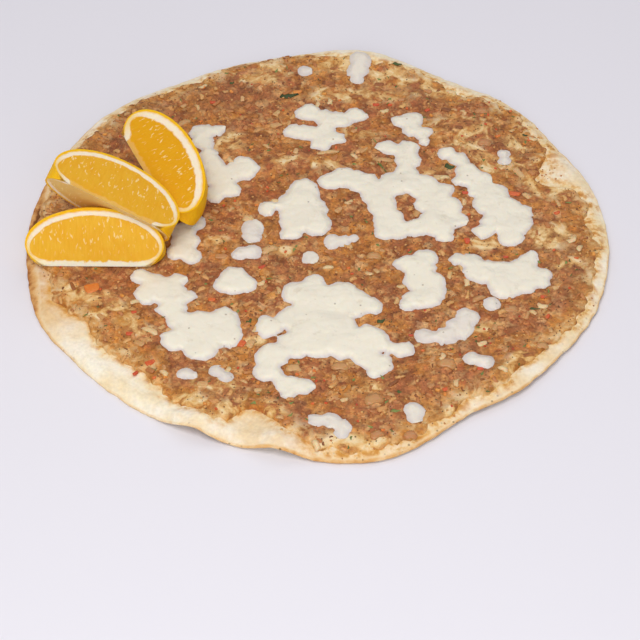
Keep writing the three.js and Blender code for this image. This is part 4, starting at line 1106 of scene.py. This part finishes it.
def wedge_sheets(half, depth, angle, pith):
    """Points of the two cut faces and the peel, their faces, and the values for the material."""
    start = -math.asin(WEDGE_SHOULDER / WEDGE_END)
    t = np.linspace(start, np.pi - start, WEDGE_COLUMNS)
    swing = np.where((t < 0) | (t > np.pi), WEDGE_END, depth - WEDGE_SHOULDER)
    rim_u = half * np.cos(t)
    rim_v = np.maximum(0, WEDGE_SHOULDER + swing * np.sin(t))
    share = np.linspace(0, 1, WEDGE_ROWS)
    core_u = WEDGE_CORE_SHARE * rim_u[:, None]
    u = core_u + (rim_u[:, None] - core_u) * share
    v = rim_v[:, None] * share
    gaps = np.hypot(u.reshape(-1, 1) - rim_u, v.reshape(-1, 1) - rim_v)
    from_peel = gaps.min(1).reshape(u.shape)
    fan = core_u * (1 + 0.25 * share)
    tip = ease(0.62, 0.97, np.abs(u) / half) * ease(17 * MM, 5 * MM, v)
    peel = from_peel / (1 - 0.6 * tip)
    peel = np.interp(peel, [0, ZEST, ZEST + pith, ZEST + 2 * pith], [0, 1, 2, 3])
    in_flesh = ease(1.9, 2.2, peel) * ease(0, 1.2 * MM, v)
    sac = lumps(fan, v / SAC_STRETCH, SAC, 61) + 0.5 * waves(fan, v / 3, 2.2 * SAC, 62)
    relief = in_flesh * (0.08 * sac - 0.25) * MM
    points = []
    faces = []
    values = {"peel": [], "from_core": [], "fan": [], "tip": []}
    for lean, side in ((0, -1), (angle, 1)):
        c = math.cos(lean)
        s = math.sin(lean)
        out_y = -side * s
        out_z = side * c
        sheet = np.stack([u, v * c + relief * out_y, v * s + relief * out_z], -1)
        faces += sheet_faces(sum(len(p) for p in points), *u.shape, flip=side > 0)
        points.append(sheet.reshape(-1, 3))
        values["peel"].append(peel.ravel())
        values["from_core"].append(v.ravel())
        values["fan"].append(fan.ravel() + (0.1 if side > 0 else 0))
        values["tip"].append(tip.ravel())
    lean = np.linspace(0, angle, WEDGE_TURNS)
    around_u = np.broadcast_to(rim_u[:, None], (WEDGE_COLUMNS, WEDGE_TURNS))
    skin = 0.16 * waves(around_u, rim_v[:, None] * lean, 7 * MM, 63)
    skin = skin - 0.07 * lumps(around_u, rim_v[:, None] * lean, 1.2 * MM, 64)
    fade = ease(0, 0.06, lean) * ease(0, 0.06, angle - lean) * ease(0, 3 * MM, rim_v[:, None])
    swept_v = rim_v[:, None] + skin * fade * MM
    sheet = np.stack([around_u, swept_v * np.cos(lean), swept_v * np.sin(lean)], -1)
    faces += sheet_faces(sum(len(p) for p in points), WEDGE_COLUMNS, WEDGE_TURNS, flip=False)
    points.append(sheet.reshape(-1, 3))
    for key in values:
        values[key].append(np.zeros(WEDGE_COLUMNS * WEDGE_TURNS))
    values["from_core"][-1] += 1
    return np.concatenate(points), faces, {key: np.concatenate(value) for key, value in values.items()}


def press_back(points, tree, core, axis, up, gap):
    """Moves the points in a placed wedge to just past its surface, straight up or out from its core."""
    for k, point in enumerate(points):
        out = point - core
        out = Vector(up if up is not None else out - axis * out.dot(axis)).normalized()
        exits = 0
        start = Vector(point)
        hit = tree.ray_cast(start, out)[0]
        while hit is not None:
            exits += 1
            last = hit
            hit = tree.ray_cast(hit + out * 0.01 * MM, out)[0]
        if exits % 2:
            points[k] = last + out * gap
    return points


placed = []
for name, w in WEDGES.items():
    points, faces, values = wedge_sheets(
        w["half"] * MM, w["depth"] * MM, math.radians(w["angle"]), w["pith"] * MM)
    turn = Matrix.Rotation(math.radians(w["heading"]), 3, "Z")
    turn = turn @ Matrix.Rotation(math.radians(w["pitch"]), 3, "Y")
    turn = turn @ Matrix.Rotation(-math.radians(w["tilt"]), 3, "X")
    points = points @ np.array(turn).T + np.array([w["x"] * MM, w["y"] * MM, 0])
    core = Vector((w["x"] * MM, w["y"] * MM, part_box(name)[1].z - points[:, 2].max()))
    axis = turn @ Vector((1, 0, 0))
    points[:, 2] += core.z
    for tree, other_core, other_axis, other_up in placed:
        points = press_back(points, tree, other_core, other_axis, other_up, 0.15 * MM)
    values["strip"] = np.full(len(points), 1.0 if name == "lemon_wedge_front" else 0.15)
    values["deep"] = np.full(len(points), w["deep"])
    # Painted light on the first sheet only, the lower cut face
    values["membrane"] = np.where(np.arange(len(points)) < WEDGE_COLUMNS * WEDGE_ROWS, w["membrane"], 0)
    wedge = make_piece(name.replace("lemon_wedge", "cut_lemon"), points, faces, **values)
    shell = bmesh.new()
    shell.from_mesh(wedge.data)
    bmesh.ops.remove_doubles(shell, verts=shell.verts, dist=0.01 * MM)
    bmesh.ops.recalc_face_normals(shell, faces=shell.faces)
    shell.to_mesh(wedge.data)
    shell.free()
    wedge.data.set_sharp_from_angle(angle=math.radians(40))
    wedge.data.materials.append(rind)
    tree = BVHTree.FromObject(wedge, bpy.context.evaluated_depsgraph_get())
    angle = math.radians(w["angle"])
    cut_normal = turn @ Vector((0, -math.sin(angle), math.cos(angle)))
    placed.append((tree, np.array(core), np.array(axis), cut_normal if w["tilt"] else None))
    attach(wedge, "root")
    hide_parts(name)


# Floor, light and camera
# The bread lies on a plain pale floor, lit by a broad soft light above it, with a weak one behind
# and another low in front. The camera looks down on it as in the photograph.
FLOOR_HALF = 3
SIGHT_TARGET = Vector((0.001328, -0.057815, 0.004))  # the point that the camera looks at
SIGHT_DISTANCE = 0.83968
SIGHT_ELEVATION = math.radians(45.394)
LENS = 106.875

floor_corners = [(FLOOR_HALF * x, FLOOR_HALF * y, 0) for x, y in ((-1, -1), (1, -1), (1, 1), (-1, 1))]
floor = make_piece("floor", floor_corners, [[0, 1, 2, 3]])
paper, nodes, shader = finish_named("pale_floor")
shader.inputs["Base Color"].default_value = linear("#E9E7EE")
shader.inputs["Roughness"].default_value = 0.7
floor.data.materials.append(paper)


def soft_light(name, place, size, power, colour):
    """A square area light that faces the bread."""
    lamp = bpy.data.lights.new(name, "AREA")
    lamp.size = size
    lamp.energy = power
    lamp.color = linear(colour)[:3]
    light = bpy.data.objects.new(name, lamp)
    light.location = place
    light.rotation_euler = (-Vector(place)).to_track_quat("-Z", "Y").to_euler()
    bpy.context.scene.collection.objects.link(light)


soft_light("key", (-0.2, -0.55, 1.6), 0.8, 11.6, "#FFFDF9")
soft_light("back", (0.4, 0.9, 1.2), 0.8, 2.4, "#FFFDFA")
soft_light("front", (-0.05, -0.8, 0.5), 0.6, 2.6, "#FFFFFF")

world = bpy.data.worlds.new("studio")
world.use_nodes = True
world.node_tree.nodes["Background"].inputs["Color"].default_value = linear("#F1F0F6")
world.node_tree.nodes["Background"].inputs["Strength"].default_value = 0.44
bpy.context.scene.world = world
bpy.context.scene.view_settings.view_transform = "Standard"

sight = Vector((0, -math.cos(SIGHT_ELEVATION), math.sin(SIGHT_ELEVATION)))
lens = bpy.data.cameras.new("camera")
lens.lens = LENS
camera = bpy.data.objects.new("camera", lens)
camera.location = SIGHT_TARGET + SIGHT_DISTANCE * sight
camera.rotation_euler = (-sight).to_track_quat("-Z", "Y").to_euler()
bpy.context.scene.collection.objects.link(camera)
bpy.context.scene.camera = camera
